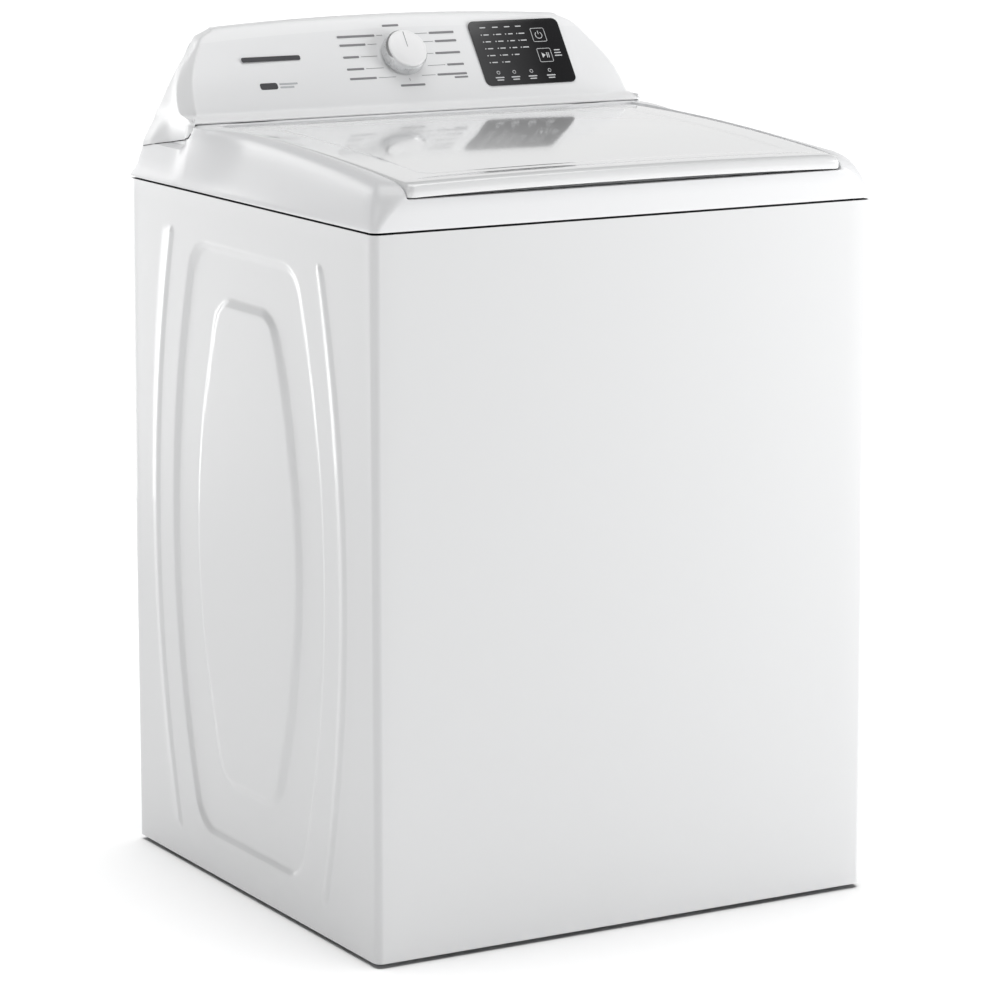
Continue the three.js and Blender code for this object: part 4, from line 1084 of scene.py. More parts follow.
def stroke(start, end, width, lift=0.0, thick=0.16):
    """Straight printed line from one place to another."""
    start, end = np.array(start, float), np.array(end, float)
    along = (end - start) / np.linalg.norm(end - start)
    side = np.array([-along[1], along[0]]) * width / 2
    outline = [start - side, end - side, end + side, start + side]
    return prism("stroke", [tuple(p) for p in outline], lift, lift + thick)


def arc_line(u, v, radius, width, first, last, lift, steps=20, thick=0.16):
    """Printed line along part of a circle."""
    angles = np.radians(np.linspace(first, last, steps))
    far, near = radius + width / 2, radius - width / 2
    outer = [(u + far * math.cos(a), v + far * math.sin(a)) for a in angles]
    inner = [(u + near * math.cos(a), v + near * math.sin(a)) for a in angles[::-1]]
    return prism("arc", outer + inner, lift, lift + thick)


def frame_line(u, v, width, height, line, lift, thick=0.16):
    """Outline of a rounded square."""
    outer = rounded_loop(u - width / 2, u + width / 2, v - height / 2, v + height / 2, (2.4,) * 4, 4,
        (1, 1))
    inner = rounded_loop(
        u - width / 2 + line, u + width / 2 - line, v - height / 2 + line, v + height / 2 - line,
        (2.4 - line,) * 4, 4, (1, 1),
    )
    rings = []
    for loop, level in ((outer, lift), (outer, lift + thick), (inner, lift + thick), (inner, lift),
        (outer, lift)):
        rings.append(np.column_stack([loop, np.full(len(loop), level)]))
    points, faces = skin(rings)
    return mesh_object("frame_line", points, faces)


def selector_marks():
    """Programme marks round the knob: a leader line and a plain bar for each position."""
    edge = 86.5
    ring = 37.0
    rows = (31.2, 18.4, 0.5, -17.4, -31.6)
    left_bars = (55, 38, 23, 25, 39)
    right_bars = (37, 32, 37, 25, 44)
    marks = [bar(-3.8, 45, 24, 3.1), stroke((0, -34.5), (0, -38.5), 0.65), bar(2, -45, 36, 3.1)]
    for v, left, right in zip(rows, left_bars, right_bars):
        start = math.sqrt(ring**2 - v**2)
        for side, length in ((-1, left), (1, right)):
            marks.append(stroke((side * start, v), (side * (edge - length - 3), v), 0.6))
            marks.append(bar(side * (edge - length / 2), v, length, 3.1))
    marks.append(bar(edge - 10, rows[-1] - 5.2, 20, 2.6))
    obj = joined("selector_marks", *marks)
    on_face(obj, 0, KNOB_Z, 0.05)
    show(obj, MATERIALS["print_gray"], "cabinet", "console_plastic")
    plain = joined("plain_marks", bar(0, 0, 84, 7.0), bar(-14.5, -40, 25, 9.5))
    on_face(plain, -190, 1033, 0.05)
    show(plain, MATERIALS["print_dark"], "cabinet", "console_plastic")
    small = joined("small_marks", bar(8, 2.4, 26, 2.6), bar(5, -2.4, 20, 2.6))
    on_face(small, -184, 1033 - 40 * FACE_UP[2], 0.05)
    show(small, MATERIALS["print_pale"], "cabinet", "console_plastic")


def display_marks():
    """Indicator dots, plain bars and two touch squares printed on the display window."""
    lift = 1.52
    thick = 0.1
    marks = []
    columns = ((-50, 5, 10), (-31, 5, 10), (-13, 4, 9), (4, 3, 11))
    for u, count, length in columns:
        marks.append(bar(u + 2, 38.5, 8.5, 1.5, lift, thick))
        for row in range(count):
            v = 27.5 - 10.5 * row
            marks.append(dot(u - 3.2, v, 0.9, lift, thick))
            marks.append(bar(u + 4, v, length - 2, 1.5, lift, thick))
    for u, v in ((33, 24), (33, -7)):
        marks.append(frame_line(u, v, 21, 21, 0.7, lift, thick))
    marks.append(arc_line(33, 23.6, 5.0, 0.9, 125, 415, lift, 28, thick))
    marks.append(stroke((33, 25), (33, 30.4), 0.9, lift, thick))
    play = [(28.4, -11), (28.4, -3), (33.6, -7)]
    marks.append(prism("play", play, lift, lift + thick))
    marks += [bar(35.8, -7, 1.2, 8, lift, thick), bar(38.4, -7, 1.2, 8, lift, thick)]
    for row in range(3):
        marks.append(bar(53, 0 - 4.2 * row, 9 + row, 1.5, lift, thick))
    for u in (-46, -22, 4, 32):
        marks.append(arc_line(u, -30, 2.2, 0.8, 0, 340, lift, 20, thick))
        marks.append(bar(u, -37.5, 13, 1.7, lift, thick))
        marks.append(bar(u, -41.2, 10, 1.6, lift, thick))
    low, high = DISPLAY_LOW, DISPLAY_HIGH
    obj = joined("display_marks", *marks)
    on_face(obj, (low[0] + high[0]) / 2, (low[2] + high[2]) / 2)
    show(obj, MATERIALS["print_white"], "cabinet", "display")


# ------------------------------------------------------------------ back and underneath
def screw_head(x, y, z, radius=4.2):
    """Hexagon washer head facing backwards."""
    washer = prism("washer", circle(x, z, radius * 1.35, 32), y, y + 1.0, (0, 2, 1))
    head = prism("head", circle(x, z, radius, 6), y + 0.9, y + 3.6, (0, 2, 1))
    return joined("screw", bevelled(washer, 0.3, 2), bevelled(head, 0.5, 2))


def rear_panel():
    """Zinc-coated back with a flanged edge, stiffening pressings, vents, holes and screws."""
    low, high = node_box("rear_panel")
    y = high[1]
    xs = refined(low[0], high[0], 11.0, (-250, 250, -120, 120), 5.0, 20)
    zs = refined(low[2], high[2], 11.0, (120, 330, 400, 610, 690), 5.0, 20)
    rings = []
    for z in zs:
        relief = np.zeros(len(xs))
        for z0, z1 in ((110, 330), (400, 620)):
            inside = np.minimum(
                smoothstep(-9, 9, 255 - np.abs(xs)),
                smoothstep(-9, 9, (z1 - z0) / 2 - abs(z - (z0 + z1) / 2))
            )
            relief -= 7.0 * inside
            centre = np.minimum(
                smoothstep(-8, 8, 150 - np.abs(xs)),
                smoothstep(-8, 8, (z1 - z0) / 2 - 45 - abs(z - (z0 + z1) / 2))
            )
            relief += 4.0 * centre
        bead = smoothstep(9, 2, abs(z - 700.0)) * smoothstep(0, 14, 285 - np.abs(xs))
        rings.append(np.stack([xs, y - 0.2 + relief - 3.0 * bead, np.full(len(xs), z)], 1))
    points, faces = skin(rings, closed=False)
    panel = mesh_object("rear_sheet", points, faces, 40)
    thicken(panel, 0.9, 40)
    slots = []
    for side in (-1, 1):
        for row in range(9):
            z = 748 + 9.5 * row
            slots.append(prism("vent", rounded_loop(side * 120 - 42, side * 120 + 42, z - 2, z + 2,
                (1.9,) * 4, 4, (1, 1)),
                               y - 30, y + 20, (0, 2, 1)))
    boolean(panel, "DIFFERENCE", joined("vents", *slots))
    drain, gland = node_box("drain_outlet"), node_box("cord_gland")
    for (a, b), radius in ((drain, 15), (gland, 11)):
        hole = prism("hole", circle((a[0] + b[0]) / 2, (a[2] + b[2]) / 2, radius, 48), y - 30, y + 20,
            (0, 2, 1))
        boolean(panel, "DIFFERENCE", hole)
    screws = [
        screw_head(side * (high[0] - 9), y - 0.1, z, 3.6) for side in (-1, 1) for z in (40, 250, 460, 670,
            845)
    ] + [screw_head(x, y - 0.1, z, 3.6) for x in (-170, 0, 170) for z in (28, 862)]
    panel.data.materials.append(MATERIALS["galvanised"])
    heads = joined("screws", *screws)
    heads.data.materials.append(MATERIALS["steel"])
    whole = joined("rear_panel_sheet", panel, heads)
    return show(whole, None, "cabinet", "galvanised", "rear_panel")


def threaded(name, x, z, y0, y1, outer, inner, pitch=2.2, sides=64):
    """Hose port along Y with a real helical thread and an open bore."""
    turns = (y1 - 2.0 - y0 - 6) / pitch
    rows = int(turns * 8)
    rings = []
    angles = np.linspace(0, 2 * math.pi, sides, endpoint=False)

    def ring(y, radius):
        return np.stack([x + radius * np.cos(angles), np.full(sides, y), z + radius * np.sin(angles)], 1)

    rings.append(ring(y0, outer - 1.4))
    for k in range(rows):
        y = y0 + 6 + (y1 - 2.0 - y0 - 6) * k / rows
        wave = 0.5 + 0.5 * np.cos(2 * math.pi * (y / pitch) - angles)
        fade = min(1, k / 8, (rows - k) / 8)
        rings.append(ring(y, outer - 1.4 + 1.3 * wave * fade))
    rings += [ring(y1 - 1.6, outer - 1.4), ring(y1 - 0.4, outer - 2.0), ring(y1, outer - 2.8)]
    rings += [ring(y1, inner + 0.6), ring(y1 - 0.8, inner), ring(y0, inner), ring(y0, outer - 1.4)]
    points, faces = skin(rings)
    return mesh_object(name, points, faces, 50)


def inlet_valve():
    """Water inlet valve behind the console."""
    low, high = node_box("inlet_valve")
    z = 988.0
    body_y1 = 284.0
    pieces = [block("valve_body", (low[0] + 1, low[1] + 3, z - 19.5), (high[0] - 1, body_y1, z + 19.5),
        3.0, 3)]
    port_xs = (low[0] + 22, high[0] - 22)
    for x in port_xs:
        pieces.append(threaded("port", x, z, body_y1 - 1, high[1], 13.1, 9.0))
        winding = [(0.01, z + 19), (12.8, z + 19), (12.8, z + 43.5), (0.01, z + 43.5)]
        pieces.append(turned("coil", rounded(winding, 1.5), 48, (x, 262.0)))
    colours = ("black_plastic", "print_blue", "black_plastic", "print_red", "black_plastic")
    for piece, colour in zip(pieces, colours):
        piece.data.materials.append(MATERIALS[colour])
    whole = joined("valve", *pieces)
    return show(whole, None, "cabinet", "inner_plastic", "inlet_valve")


def spigots():
    low, high = node_box("drain_outlet")
    x, z = (low[0] + high[0]) / 2, (low[2] + high[2]) / 2
    profile = [
        (11, -30), (13.8, -30), (13.8, 1), (23.4, 1), (23.4, 4), (14.2, 4), (13.6, 34), (15.9, 38),
        (13.2, 44), (11, 44),
    ]
    tube = turned("drain_spigot", rounded(profile, 0.8), 72, (0, 0))
    place = Matrix.Translation((x * MM, (high[1] - 44) * MM, z * MM))
    moved(tube, place @ Matrix.Rotation(-math.pi / 2, 4, "X"))
    show(tube, MATERIALS["black_plastic"], "cabinet", "black_plastic", "drain_outlet")
    low, high = node_box("cord_gland")
    x, z = (low[0] + high[0]) / 2, (low[2] + high[2]) / 2
    profile = [(5, -11), (10.3, -11), (10.3, 1), (15.5, 1), (15.5, 4), (10.3, 5), (9.2, 11.8), (5, 11.8)]
    bush = turned("gland_bush", rounded(profile, 0.8), 64, (0, 0))
    moved(bush, Matrix.Translation((x * MM, (high[1] - 12) * MM, z * MM)) @ Matrix.Rotation(-math.pi / 2,
        4, "X"))
    show(bush, MATERIALS["rubber"], "cabinet", "rubber", "cord_gland")


def console_back():
    """Zinc-coated cover closing the console from behind, with vents and screws."""
    low, high = node_box("console_rear_cover")
    rings = []
    for z in np.linspace(low[2] + 0.6, high[2] - 0.6, 30):
        half = min(314.0, 318 - 0.40 * (z - CONSOLE_LOW[2]) - 5.5) - 6 * smoothstep(1045, 1066, z) ** 2
        xs = np.linspace(-half, half, 60)
        inset = smoothstep(0, 10, half - np.abs(xs)) * 2.5
        rings.append(np.stack([xs, rear_y(z) - 2.2 - inset * smoothstep(0, 8,
            min(z - low[2], high[2] - z)), np.full(60, z)], 1))
    points, faces = skin(rings, closed=False)
    sheet = mesh_object("console_back_sheet", points, faces, 40)
    thicken(sheet, 1.0, 40)
    low_valve, high_valve = node_box("inlet_valve")
    cuts = []
    for x in (low_valve[0] + 22, high_valve[0] - 22):
        cuts.append(prism("hole", circle(x, 988, 14.6, 48), 230, REAR + 20, (0, 2, 1)))
    for row in range(5):
        z = 1004 + 9 * row
        cuts.append(prism("vent", rounded_loop(60, 190, z - 1.8, z + 1.8, (1.7,) * 4, 4, (1, 1)), 230,
            REAR + 20, (0, 2, 1)))
    boolean(sheet, "DIFFERENCE", *cuts)
    sheet.data.materials.append(MATERIALS["galvanised"])
    screws = joined("screws", *[screw_head(x, rear_y(976) - 4.6, 974, 3.4) for x in (-296, -120, 0, 120,
        296)])
    screws.data.materials.append(MATERIALS["steel"])
    whole = joined("console_cover", sheet, screws)
    return show(whole, None, "cabinet", "galvanised", "console_rear_cover")


def base_frame():
    """Pressed base: flat ring with an upturned edge, a rolled inner lip and foot bosses."""
    low, high = node_box("base_frame")
    z0 = low[2]
    levels = [
        (0.6, 27.5, 14), (0.3, 14, 14), (0.6, 4, 14), (2.2, 1.2, 14), (6, 0.2, 16), (20, 0.2, 24),
        (27, 3.0, 30), (32, 3.2, 34),
        (38, 0.6, 38), (44, 0.4, 40), (46.6, 2.0, 41), (47.6, 6, 42), (47.6, 19.5, 42),
    ]
    rings = []
    for inset, rise, radius in levels:
        loop = rounded_loop(low[0] + 6 + inset, high[0] - 6 - inset, low[1] + inset, high[1] - inset,
            (radius,) * 4, 10, (24, 24))
        rings.append(np.column_stack([loop, np.full(len(loop), z0 + 0.2 + rise)]))
    points, faces = skin(rings)
    sheet = mesh_object("base_sheet", points, faces, 45)
    thicken(sheet, 1.8, 45)
    bosses = []
    for corner in CORNERS:
        a, b = node_box("levelling_foot_" + corner)
        centre = ((a[0] + b[0]) / 2, (a[1] + b[1]) / 2)
        profile = rounded([(6.2, z0), (12.8, z0), (12.8, z0 + 16), (6.2, z0 + 16)], 1.2)
        bosses.append(turned("boss", profile, 48, centre))
    whole = joined("base_pressing", sheet, *bosses)
    return show(whole, MATERIALS["galvanised"], "cabinet", "galvanised", "base_frame")


def levelling_feet():
    """Four levelling feet, each on a threaded stud."""
    for corner in CORNERS:
        node = "levelling_foot_" + corner
        profile = [
            (0, 0), (17.2, 0), (19.2, 0.8), (19.8, 2.2), (19.4, 4.2), (17.4, 6.9), (11, 8.2),
            (10, 9.2), (10, 12), (5.2, 12),
        ]
        z = 12.0
        while z < 57:
            profile += [(5.55, z + 0.55), (4.9, z + 1.1)]
            z += 1.1
        profile += [(4.4, 59.4), (0, 59.6)]
        obj = turned("foot_" + corner, profile, 48, node_centre(node), closed=False, sharp=35)
        show(obj, MATERIALS["black_plastic"], "foot_" + corner, "black_plastic", node)


# ------------------------------------------------------------------ suspension
def suspension():
    """Four rods that carry the tub, each with its spring and its corner brace."""
    for corner in CORNERS:
        low, high = node_box("suspension_rod_" + corner)
        centre = node_centre("suspension_rod_" + corner)
        bottom, top = low[2], high[2] - 15
        profile = [
            (0, bottom), (18.6, bottom), (20, bottom + 1.2), (20, bottom + 4), (19, bottom + 5),
            (4, bottom + 5), (4, top), (10.4, top), (11.6, top + 1), (12, top + 5), (8, top + 12),
            (3, top + 14.6), (0, top + 15),
        ]
        rod = turned("rod_" + corner, profile, 48, centre, closed=False, sharp=40)
        show(rod, MATERIALS["steel"], "cabinet", "steel", "suspension_rod_" + corner)
        spring(corner, centre)
        brace(corner)


def spring(corner, centre):
    """Coil spring on a suspension rod, its turns closer at both ends."""
    low, high = node_box("suspension_spring_" + corner)
    wire, radius, turns, per_turn, sides = 2.45, 13.6, 4.6, 40, 12
    start, end = low[2] + wire + 0.1, high[2] - wire - 0.1
    steps = int(turns * per_turn)
    rings = []
    for k in range(steps + 1):
        t = k / steps
        rise = np.clip((t * turns - 0.7) / (turns - 1.4), 0, 1)
        angle = 2 * math.pi * turns * t
        spot = np.array([centre[0] + radius * math.cos(angle), centre[1] + radius * math.sin(angle),
            start + (end - start) * rise])
        outward = np.array([math.cos(angle), math.sin(angle), 0])
        section = [spot + wire * (math.cos(a) * outward + math.sin(a) * np.array([0, 0, 1]))
                   for a in np.linspace(0, 2 * math.pi, sides, endpoint=False)]
        rings.append(section)
    points, faces = skin(rings, cap_first=True, cap_last=True)
    obj = mesh_object("spring_" + corner, points, faces, 60)
    show(obj, MATERIALS["steel"], "cabinet", "steel", "suspension_spring_" + corner)
    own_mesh(obj)


def brace(corner):
    """Corner gusset with a bead pressed along it and a cup for the rod's head."""
    node = "corner_brace_" + corner
    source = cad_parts[node]
    obj = copy_of(source, "brace_" + corner)
    for vertex in obj.data.vertices:
        vertex.co.x = max(-0.3435, min(0.3435, vertex.co.x))
    bevelled(obj, 0.7, 2)
    show(obj, MATERIALS["galvanised"], "cabinet", "galvanised", node)


def copy_of(source, name):
    """A separate mesh with a CAD node's shape, to be softened."""
    mesh = source.data.copy()
    mesh.materials.clear()
    obj = bpy.data.objects.new(name, mesh)
    bpy.context.scene.collection.objects.link(obj)
    mesh.transform(source.matrix_world)
    work = bmesh.new()
    work.from_mesh(mesh)
    bmesh.ops.remove_doubles(work, verts=work.verts, dist=1e-6)
    bmesh.ops.dissolve_limit(work, angle_limit=math.radians(1), verts=work.verts, edges=work.edges)
    work.to_mesh(mesh)
    work.free()
    return obj


# ------------------------------------------------------------------ tub, basket and drive
def outer_tub():
    """Plastic tub with its ribs."""
    top, floor_z = TUB_HIGH[2], TUB_LOW[2]
    r = 292.0
    profile = [
        (38, floor_z), (60, floor_z), (250, floor_z + 8), (r - 12, floor_z + 20), (r - 3, floor_z + 42),
        (r, floor_z + 64),
        (r, top - 12), (r + 5.5, top - 9), (r + 6, top), (r - 4, top), (r - 4, floor_z + 62),
        (r - 12, floor_z + 31),
        (248, floor_z + 14), (60, floor_z + 6), (38, floor_z + 6),
    ]
    pieces = [turned("tub_wall", rounded(profile, 4, 5), 128)]
    for corner in CORNERS:
        a, b = node_box("suspension_rod_" + corner)
        x, y = (a[0] + b[0]) / 2, (a[1] + b[1]) / 2 - AXIS_Y
        reach, angle = math.hypot(x, y), math.atan2(y, x)
        arm = block("arm", (r - 3, -15, 262), (reach, 15, 274), 2.0, 3)
        boss = turned("boss", rounded([(6, 262), (18.8, 262), (18.8, 274), (6, 274)], 1.6), 48,
            (reach, 0.0))
        hole = prism("bore", circle(reach, 0, 6, 32), 200, 300)
        boolean(arm, "DIFFERENCE", hole)
        webs = [
            prism("web", [(r - 3, 273), (r + 44, 273), (r - 3, 314)], s - 1.6, s + 1.6,
                (0, 2, 1)) for s in (-10, 0, 10)
        ]
        ear = joined("ear", arm, boss, *webs)
        pieces.append(about_axis(ear, angle))
    whole = joined("tub", *pieces)
    return show(whole, MATERIALS["tub_plastic"], "tub", "tub_plastic", "outer_tub")


def basket():
    """Spin basket: rolled stainless wall with rows of drain holes, and a dished floor."""
    r, floor_z, top = 267.6, BASKET_LOW[2], BASKET_HIGH[2]
    low, columns, rows = floor_z + 52, 84, 22
    height = (top - 8 - low) / rows
    hole = 3.6
    points, faces = [], []
    for row in range(rows):
        for column in range(columns):
            if (row + column) % 2:
                middle_a = 2 * math.pi * (column + 0.5) / columns
                size = hole
            else:
                middle_a = 2 * math.pi * (column + 0.5) / columns
                size = hole * 0.72
            middle_z = low + (row + 0.5) * height
            half_a, half_z = math.pi / columns, height / 2
            square = [(1, 0), (1, 1), (0, 1), (-1, 1), (-1, 0), (-1, -1), (0, -1), (1, -1)]
            start = len(points)
            for da, dz in square:
                a = middle_a + da * half_a
                points.append((r * math.cos(a), AXIS_Y + r * math.sin(a), middle_z + dz * half_z))
            for k in range(8):
                t = math.radians(45 * k)
                a = middle_a + size * math.cos(t) / r
                points.append((r * math.cos(a), AXIS_Y + r * math.sin(a), middle_z + size * math.sin(t)))
            for k in range(8):
                n = (k + 1) % 8
                faces.append((start + k, start + n, start + 8 + n, start + 8 + k))
    wall = mesh_object("basket_wall", np.array(points), faces, 50)
    modify(wall, "SOLIDIFY", thickness=0.9 * MM, offset=-1.0)
    smooth(wall, 40)
    sides = 168
    floor_profile = [
        (56, floor_z + 0.6), (118, floor_z + 0.6), (124, floor_z + 1.4), (180, floor_z + 3.2),
        (231, floor_z + 8.6), (246, floor_z + 13.5), (257, floor_z + 24), (264.5, floor_z + 38),
        (r, low + 0.01),
    ]
    lip_profile = [(r, top - 8.01), (r, top - 3), (r - 1.5, top - 0.8), (r - 4, top - 0.4)]
    shells = []
    for name, profile in (("dish", floor_profile), ("lip", lip_profile)):
        shell = turned("basket_" + name, profile, sides, closed=False)
        modify(shell, "SOLIDIFY", thickness=0.9 * MM, offset=0.0)
        smooth(shell, 50)
        shells.append(shell)
    ribs = []
    for k in range(6):
        rib = block("rib", (r - 3.4, -7, low + 20), (r - 0.2, 7, top - 40), 1.5, 3)
        ribs.append(about_axis(rib, math.radians(60 * k)))
    whole = joined("spin_basket_shell", wall, *shells, *ribs)
    return show(whole, MATERIALS["stainless"], "spin_basket", "stainless", "basket")


def rings():
    top = BASKET_HIGH[2]
    mouth, r = 232.0, 268.0
    balance = [
        (mouth, top + 6), (mouth + 5, top + 0.5), (r, top + 0.5), (r + 2, top + 6), (r + 2, top + 30),
        (r - 8, top + 38), (mouth + 10, top + 38), (mouth, top + 30),
    ]
    ring = turned("balance_body", rounded(balance, 5, 6), 144)
    ribs = []
    for k in range(24):
        rib = block("rib", (mouth + 14, -1.4, top + 36.6), (r - 12, 1.4, top + 37.9), 0.5)
        ribs.append(about_axis(rib, math.radians(15 * k)))
    whole = joined("balance_hoop", ring, *ribs)
    show(whole, MATERIALS["gray_plastic"], "spin_basket", "gray_plastic", "balance_ring")
    t, R = TUB_HIGH[2], 292.0
    cover = [
        (mouth + 4, t + 4), (mouth + 8, t + 4), (R - 6, t + 0.5), (R + 6, t + 0.5), (R + 8, t + 5),
        (R - 4, t + 7), (mouth + 10, t + 11), (mouth + 4, t + 14),
    ]
    turned_piece("tub_cover", cover, "tub_plastic", "tub", "tub_ring", 144, 1.6)


def wash_plate():
    """Low ribbed plate under the agitator."""
    z = 229.0
    r = 171.6
    dish = [
        (9.3, z + 4), (60, z + 4), (r - 6, z + 6), (r, z + 10), (r - 2, z + 16), (120, z + 16),
        (70, z + 26), (46, z + 50),
        (30, z + 76), (24, z + 84), (9.3, z + 84),
    ]
    body = turned("plate", rounded(dish, 5, 6), 120)
    vanes = []
    for k in range(6):
        rows = []
        for t in np.linspace(0, 1, 14):
            x = 56 + (r - 10 - 56) * t
            peak = z + 40 - 22 * t**1.4
            half = 9.5 - 1.5 * t
            rise = peak - z - 8
            across = np.linspace(-1, 1, 13)
            section = [(x, half * c, z + 8 + rise * (1 - abs(c) ** 2.4)) for c in across]
            section += [(x, half, z + 7), (x, -half, z + 7)]
            rows.append(section)
        points, faces = skin(rows, cap_first=True, cap_last=True)
        vane = mesh_object("vane", points, faces, 50)
        vanes.append(about_axis(vane, math.radians(60 * k)))
    whole = joined("wash_plate_body", body, *vanes)
    return show(whole, MATERIALS["gray_plastic"], "drive", "gray_plastic", "wash_plate")


def agitator():
    """Lift-out post with four long fins, a screw flight round its top and a cap."""
    z0, z1 = 300.0, node_box("agitator_post")[1][2]
    body = [
        (52.6, z0 - 7.4), (57, z0 - 7.4), (62.5, z0), (61, z0 + 14), (55, z0 + 34), (50, z0 + 62),
        (46, z0 + 100), (44, z0 + 140),
        (40, z1), (36, z1), (40, z0 + 140), (46, z0 + 60), (56, z0 + 12), (52.6, z0),
    ]
    pieces = [turned("post_body", rounded(body, 3, 5), 96)]
    for k in range(4):
        rows = []
        for t in np.linspace(0, 1, 28):
            z = z0 + 6 + 190 * t
            reach = 58 + 32 * math.sin(math.pi * min(1, 0.15 + t * 0.85)) ** 0.8 * (1 - 0.35 * t)
            half = 3.0 - 1.0 * t
            inner = 41.0
            section = [
                (inner, half * 1.6), (inner + 5, half * 1.15), (reach - 3, half),
                (reach - 0.8, half * 0.8), (reach, 0), (reach - 0.8, -half * 0.8), (reach - 3, -half),
                (inner + 5, -half * 1.15), (inner, -half * 1.6),
            ]
            lean = math.radians(10) * t
            rows.append([(x * math.cos(lean) - y * math.sin(lean),
                x * math.sin(lean) + y * math.cos(lean), z) for x, y in section])
        points, faces = skin(rows, cap_first=True, cap_last=True)
        fin = mesh_object("fin", points, faces, 50)
        pieces.append(about_axis(fin, math.radians(45 + 90 * k)))
    for start in (0.0, math.pi):
        rows = []
        for t in np.linspace(0, 1, 120):
            angle = start + t * 2.6 * math.pi
            z = z0 + 225 + (z1 - 40 - z0 - 225) * t
            reach = 39 + 19 * min(1, t * 6, (1 - t) * 6) ** 0.6
            section = [(38.5, -3.4), (reach - 2, -1.5), (reach, 0), (reach - 2, 1.5), (38.5, 3.4)]
            rows.append([(x * math.cos(angle), x * math.sin(angle) + AXIS_Y, z + up) for x, up in section])
        points, faces = skin(rows, cap_first=True, cap_last=True)
        pieces.append(mesh_object("flight", points, faces, 50))
    whole = joined("agitator_body", *pieces)
    show(whole, MATERIALS["gray_plastic"], "agitator", "gray_plastic", "agitator_post")
    cap = [
        (0.01, z1 + 0.4), (41, z1 + 0.4), (42, z1 + 8), (38, z1 + 16), (31, z1 + 19.5), (24, z1 + 17),
        (14, z1 + 17), (8, z1 + 23), (0.01, z1 + 23.6),
    ]
    turned_piece("cap", cap, "gray_plastic", "agitator", "agitator_cap", soften=3)


def drive():
    """Pulleys, shaft, gearcase, motor and belt under the tub."""
    pulley_z, height = 76.0, 16.0
    motor_low, motor_high = node_box("motor_pulley")
    motor_y = (motor_low[1] + motor_high[1]) / 2
    for node, radius, y, bore, body, sides in (
        ("drive_pulley", 66.0, AXIS_Y, 9.4, "drive", 96),
        ("motor_pulley", 18.0, motor_y, 4.0, "motor_rotor", 64),
    ):
        grooves = [(radius + 4, pulley_z), (radius + 4, pulley_z + 2), (radius, pulley_z + 2.4)]
        for k in range(5):
            z = pulley_z + 3.2 + 2.1 * k
            grooves += [(radius, z), (radius - 1.2, z + 0.9)]
        grooves += [(radius, pulley_z + height - 2.4), (radius + 4, pulley_z + height - 2),
            (radius + 4, pulley_z + height)]
        wheel = turned(node + "_rim", [(bore, pulley_z)] + grooves + [(bore, pulley_z + height)], sides,
            (0.0, y), sharp=25)
        if node == "drive_pulley":
            cuts = []
            for k in range(6):
                a = math.pi * k / 3
                cuts.append(prism("web_hole", circle(42 * math.cos(a), y + 42 * math.sin(a), 12, 32),
                    pulley_z - 5, pulley_z + 30))
            boolean(wheel, "DIFFERENCE", *cuts, sharp=25)
            parts = [wheel]
        else:
            axle = turned("axle", [(0.01, pulley_z - 2), (5.4, pulley_z - 2), (5.4, 115.8),
                (0.01, 115.8)], 40, (0.0, y))
            parts = [wheel, axle]
        show(joined(node + "_wheel", *parts), MATERIALS["cast_alloy"], body, "cast_alloy", node)
    shaft = turned("shaft", [(0, 68), (8, 68), (8.9, 69), (8.9, 291), (8, 292), (0, 292)], 48, closed=False)
    show(shaft, MATERIALS["steel"], "drive", "steel", "drive_shaft")
    case = [
        (10, 104), (52, 104), (60, 110), (78, 112), (78, 168), (96, 172), (110, 174), (110, 180),
        (30, 180), (24, 184),
        (20.8, 184), (20.8, 160), (10, 160),
    ]
    body = turned("case", rounded(case, 2.5, 4), 96)
    ribs = []
    for k in range(12):
        rib = prism("rib", [(76, 116), (82, 116), (100, 173), (76, 173)], -2.2, 2.2, (0, 2, 1))
        bevelled(rib, 0.8, 2)
        ribs.append(about_axis(rib, math.radians(30 * k + 15)))
    show(joined("gearcase_body", body, *ribs), MATERIALS["cast_alloy"], "tub", "cast_alloy", "gearcase")
    for node, name, slot, width in (
        ("motor", "motor_body", "steel", 1.6), ("drain_pump", "pump_body", "black_plastic", 1.5),
        ("shift_actuator", "actuator_body", "black_plastic", 2.0),
        ("drive_belt", "belt_loop", "rubber", 0.5),
    ):
        obj = copy_of(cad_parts[node], name)
        bevelled(obj, width, 3, 35, 30)
        show(obj, MATERIALS[slot], "tub", slot, node)
    hub = [
        (9.7, 162), (20, 162), (20, 210), (40, 212), (118, 218), (119.5, 220), (119.5, 225.5),
        (9.7, 225.5),
    ]
    turned_piece("hub", hub, "cast_alloy", "spin_basket", "basket_hub", soften=2)
    seal = [(22, 188), (37.4, 188), (37.4, 202), (30, 202), (22, 197)]
    turned_piece("seal", seal, "rubber", "tub", "tub_seal", 64)


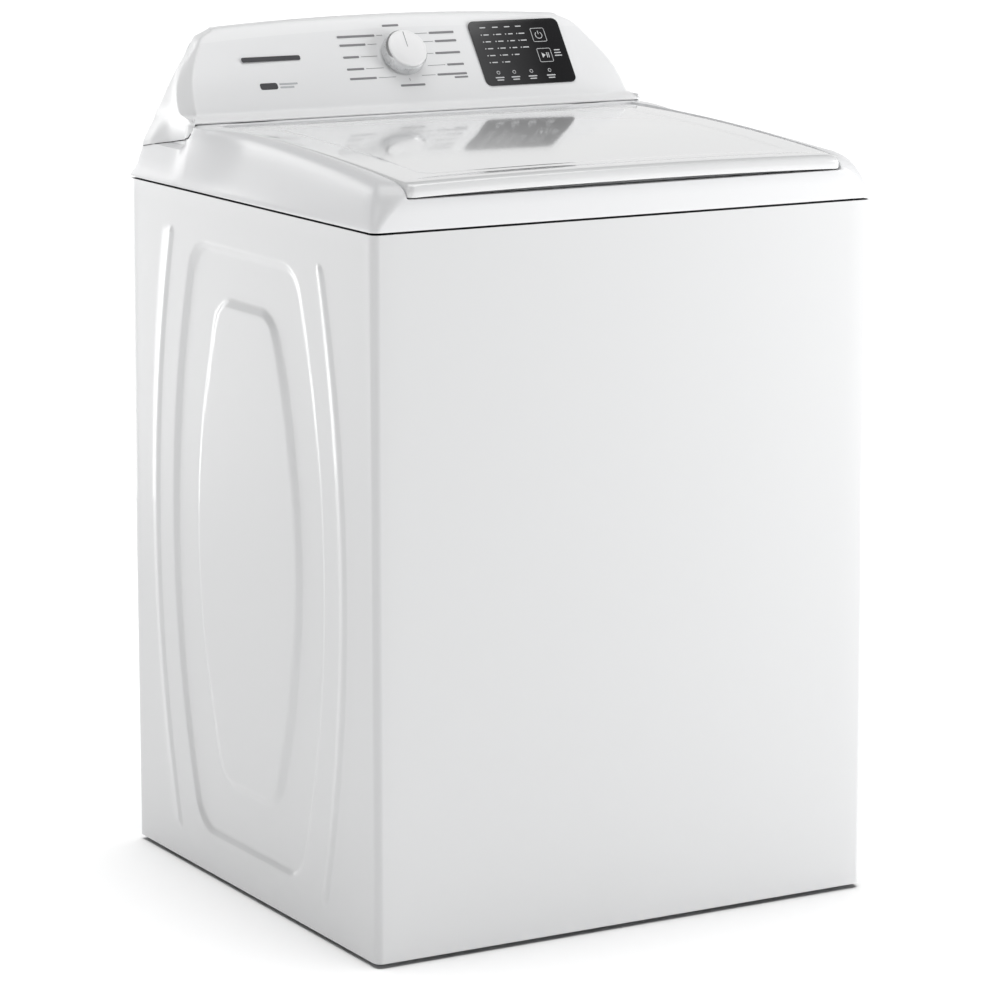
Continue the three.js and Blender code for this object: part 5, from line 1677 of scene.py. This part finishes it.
# ------------------------------------------------------------------ small fittings
def fittings():
    """Fittings kept in their CAD shape, with softened edges."""
    for node, slot, width in (
        ("lid_lock", "black_plastic", 1.4), ("inlet_spout", "inner_plastic", 1.4),
        ("pressure_sensor", "black_plastic", 1.2),
        ("control_board", "circuit_board", 0.3), ("selector_encoder", "black_plastic", 0.6),
    ):
        obj = copy_of(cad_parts[node], node + "_body")
        bevelled(obj, width, 3, 35, 30)
        show(obj, MATERIALS[slot], "cabinet", slot, node)
    low, high = node_box("bleach_dispenser")
    loops = [
        (0.4, high[2] - 2.2, 12), (0, high[2] - 1.6, 12), (0.3, high[2] - 0.6, 12),
        (1.2, high[2] - 0.1, 11.4), (6, high[2] - 0.1, 9),
        (7.6, high[2] - 0.8, 8), (8.4, high[2] - 2.6, 7.6), (8.8, low[2] + 10, 7), (10, low[2] + 5, 7),
        (14, low[2] + 3.2, 6),
        (22, low[2] + 2.8, 6),
    ]
    rings = []
    for inset, z, radius in loops:
        loop = rounded_loop(low[0] + 6 + inset, high[0] - 6 - inset, low[1] + inset, high[1] - inset,
            (radius,) * 4, 8, (6, 6))
        rings.append(np.column_stack([loop, np.full(len(loop), z)]))
    points, faces = skin(rings, cap_last=True)
    cup = mesh_object("dispenser_cup", points, faces, 40)
    thicken(cup, 1.6, 40)
    show(cup, MATERIALS["inner_plastic"], "cabinet", "inner_plastic", "bleach_dispenser")


def seam_shade_sheet():
    """Dark strips behind the seam, which keep light from passing through it: black sheets that paint the
    shade inside the seam.
    """
    low, high = SEAM - 8, SEAM + 2
    strips = [
        block("shade_sheet", (side * (SIDE - 9) - 1, FRONT + 30, low),
            (side * (SIDE - 9) + 1, REAR - 16, high), 0.3)
        for side in (-1, 1)
    ]
    strips.append(block("shade_sheet", (30 - SIDE, FRONT + 8, low), (SIDE - 30, FRONT + 10, high), 0.3))
    # The black rubber material on these strips is painted shade for the seam.
    show(joined("seam_shade_sheet", *strips), MATERIALS["rubber"], "cabinet", "rubber")


def seam_tabs():
    """Locating tabs that show as pale dashes in the seam under the top panel's front."""
    tabs = [
        block("tab", (x - w, FRONT + 1.0, CABINET_HIGH[2] - 0.6), (x + w, FRONT + 7, SEAM - 5.2), 0.3)
        for x, w in ((-168, 9), (-88, 14), (66, 9), (176, 12))
    ]
    show(joined("seam_tabs", *tabs), MATERIALS["white_plastic"], "cabinet", "white_plastic")


camera()
floor()
studio()
cabinet_wrap()
top_panel()
lid_outer()
lid_inner()
lid_fittings()
console()
selector_knob()
display_overlay()
selector_marks()
display_marks()
rear_panel()
inlet_valve()
spigots()
console_back()
base_frame()
levelling_feet()
suspension()
outer_tub()
basket()
rings()
wash_plate()
agitator()
drive()
fittings()
seam_shade_sheet()
seam_tabs()
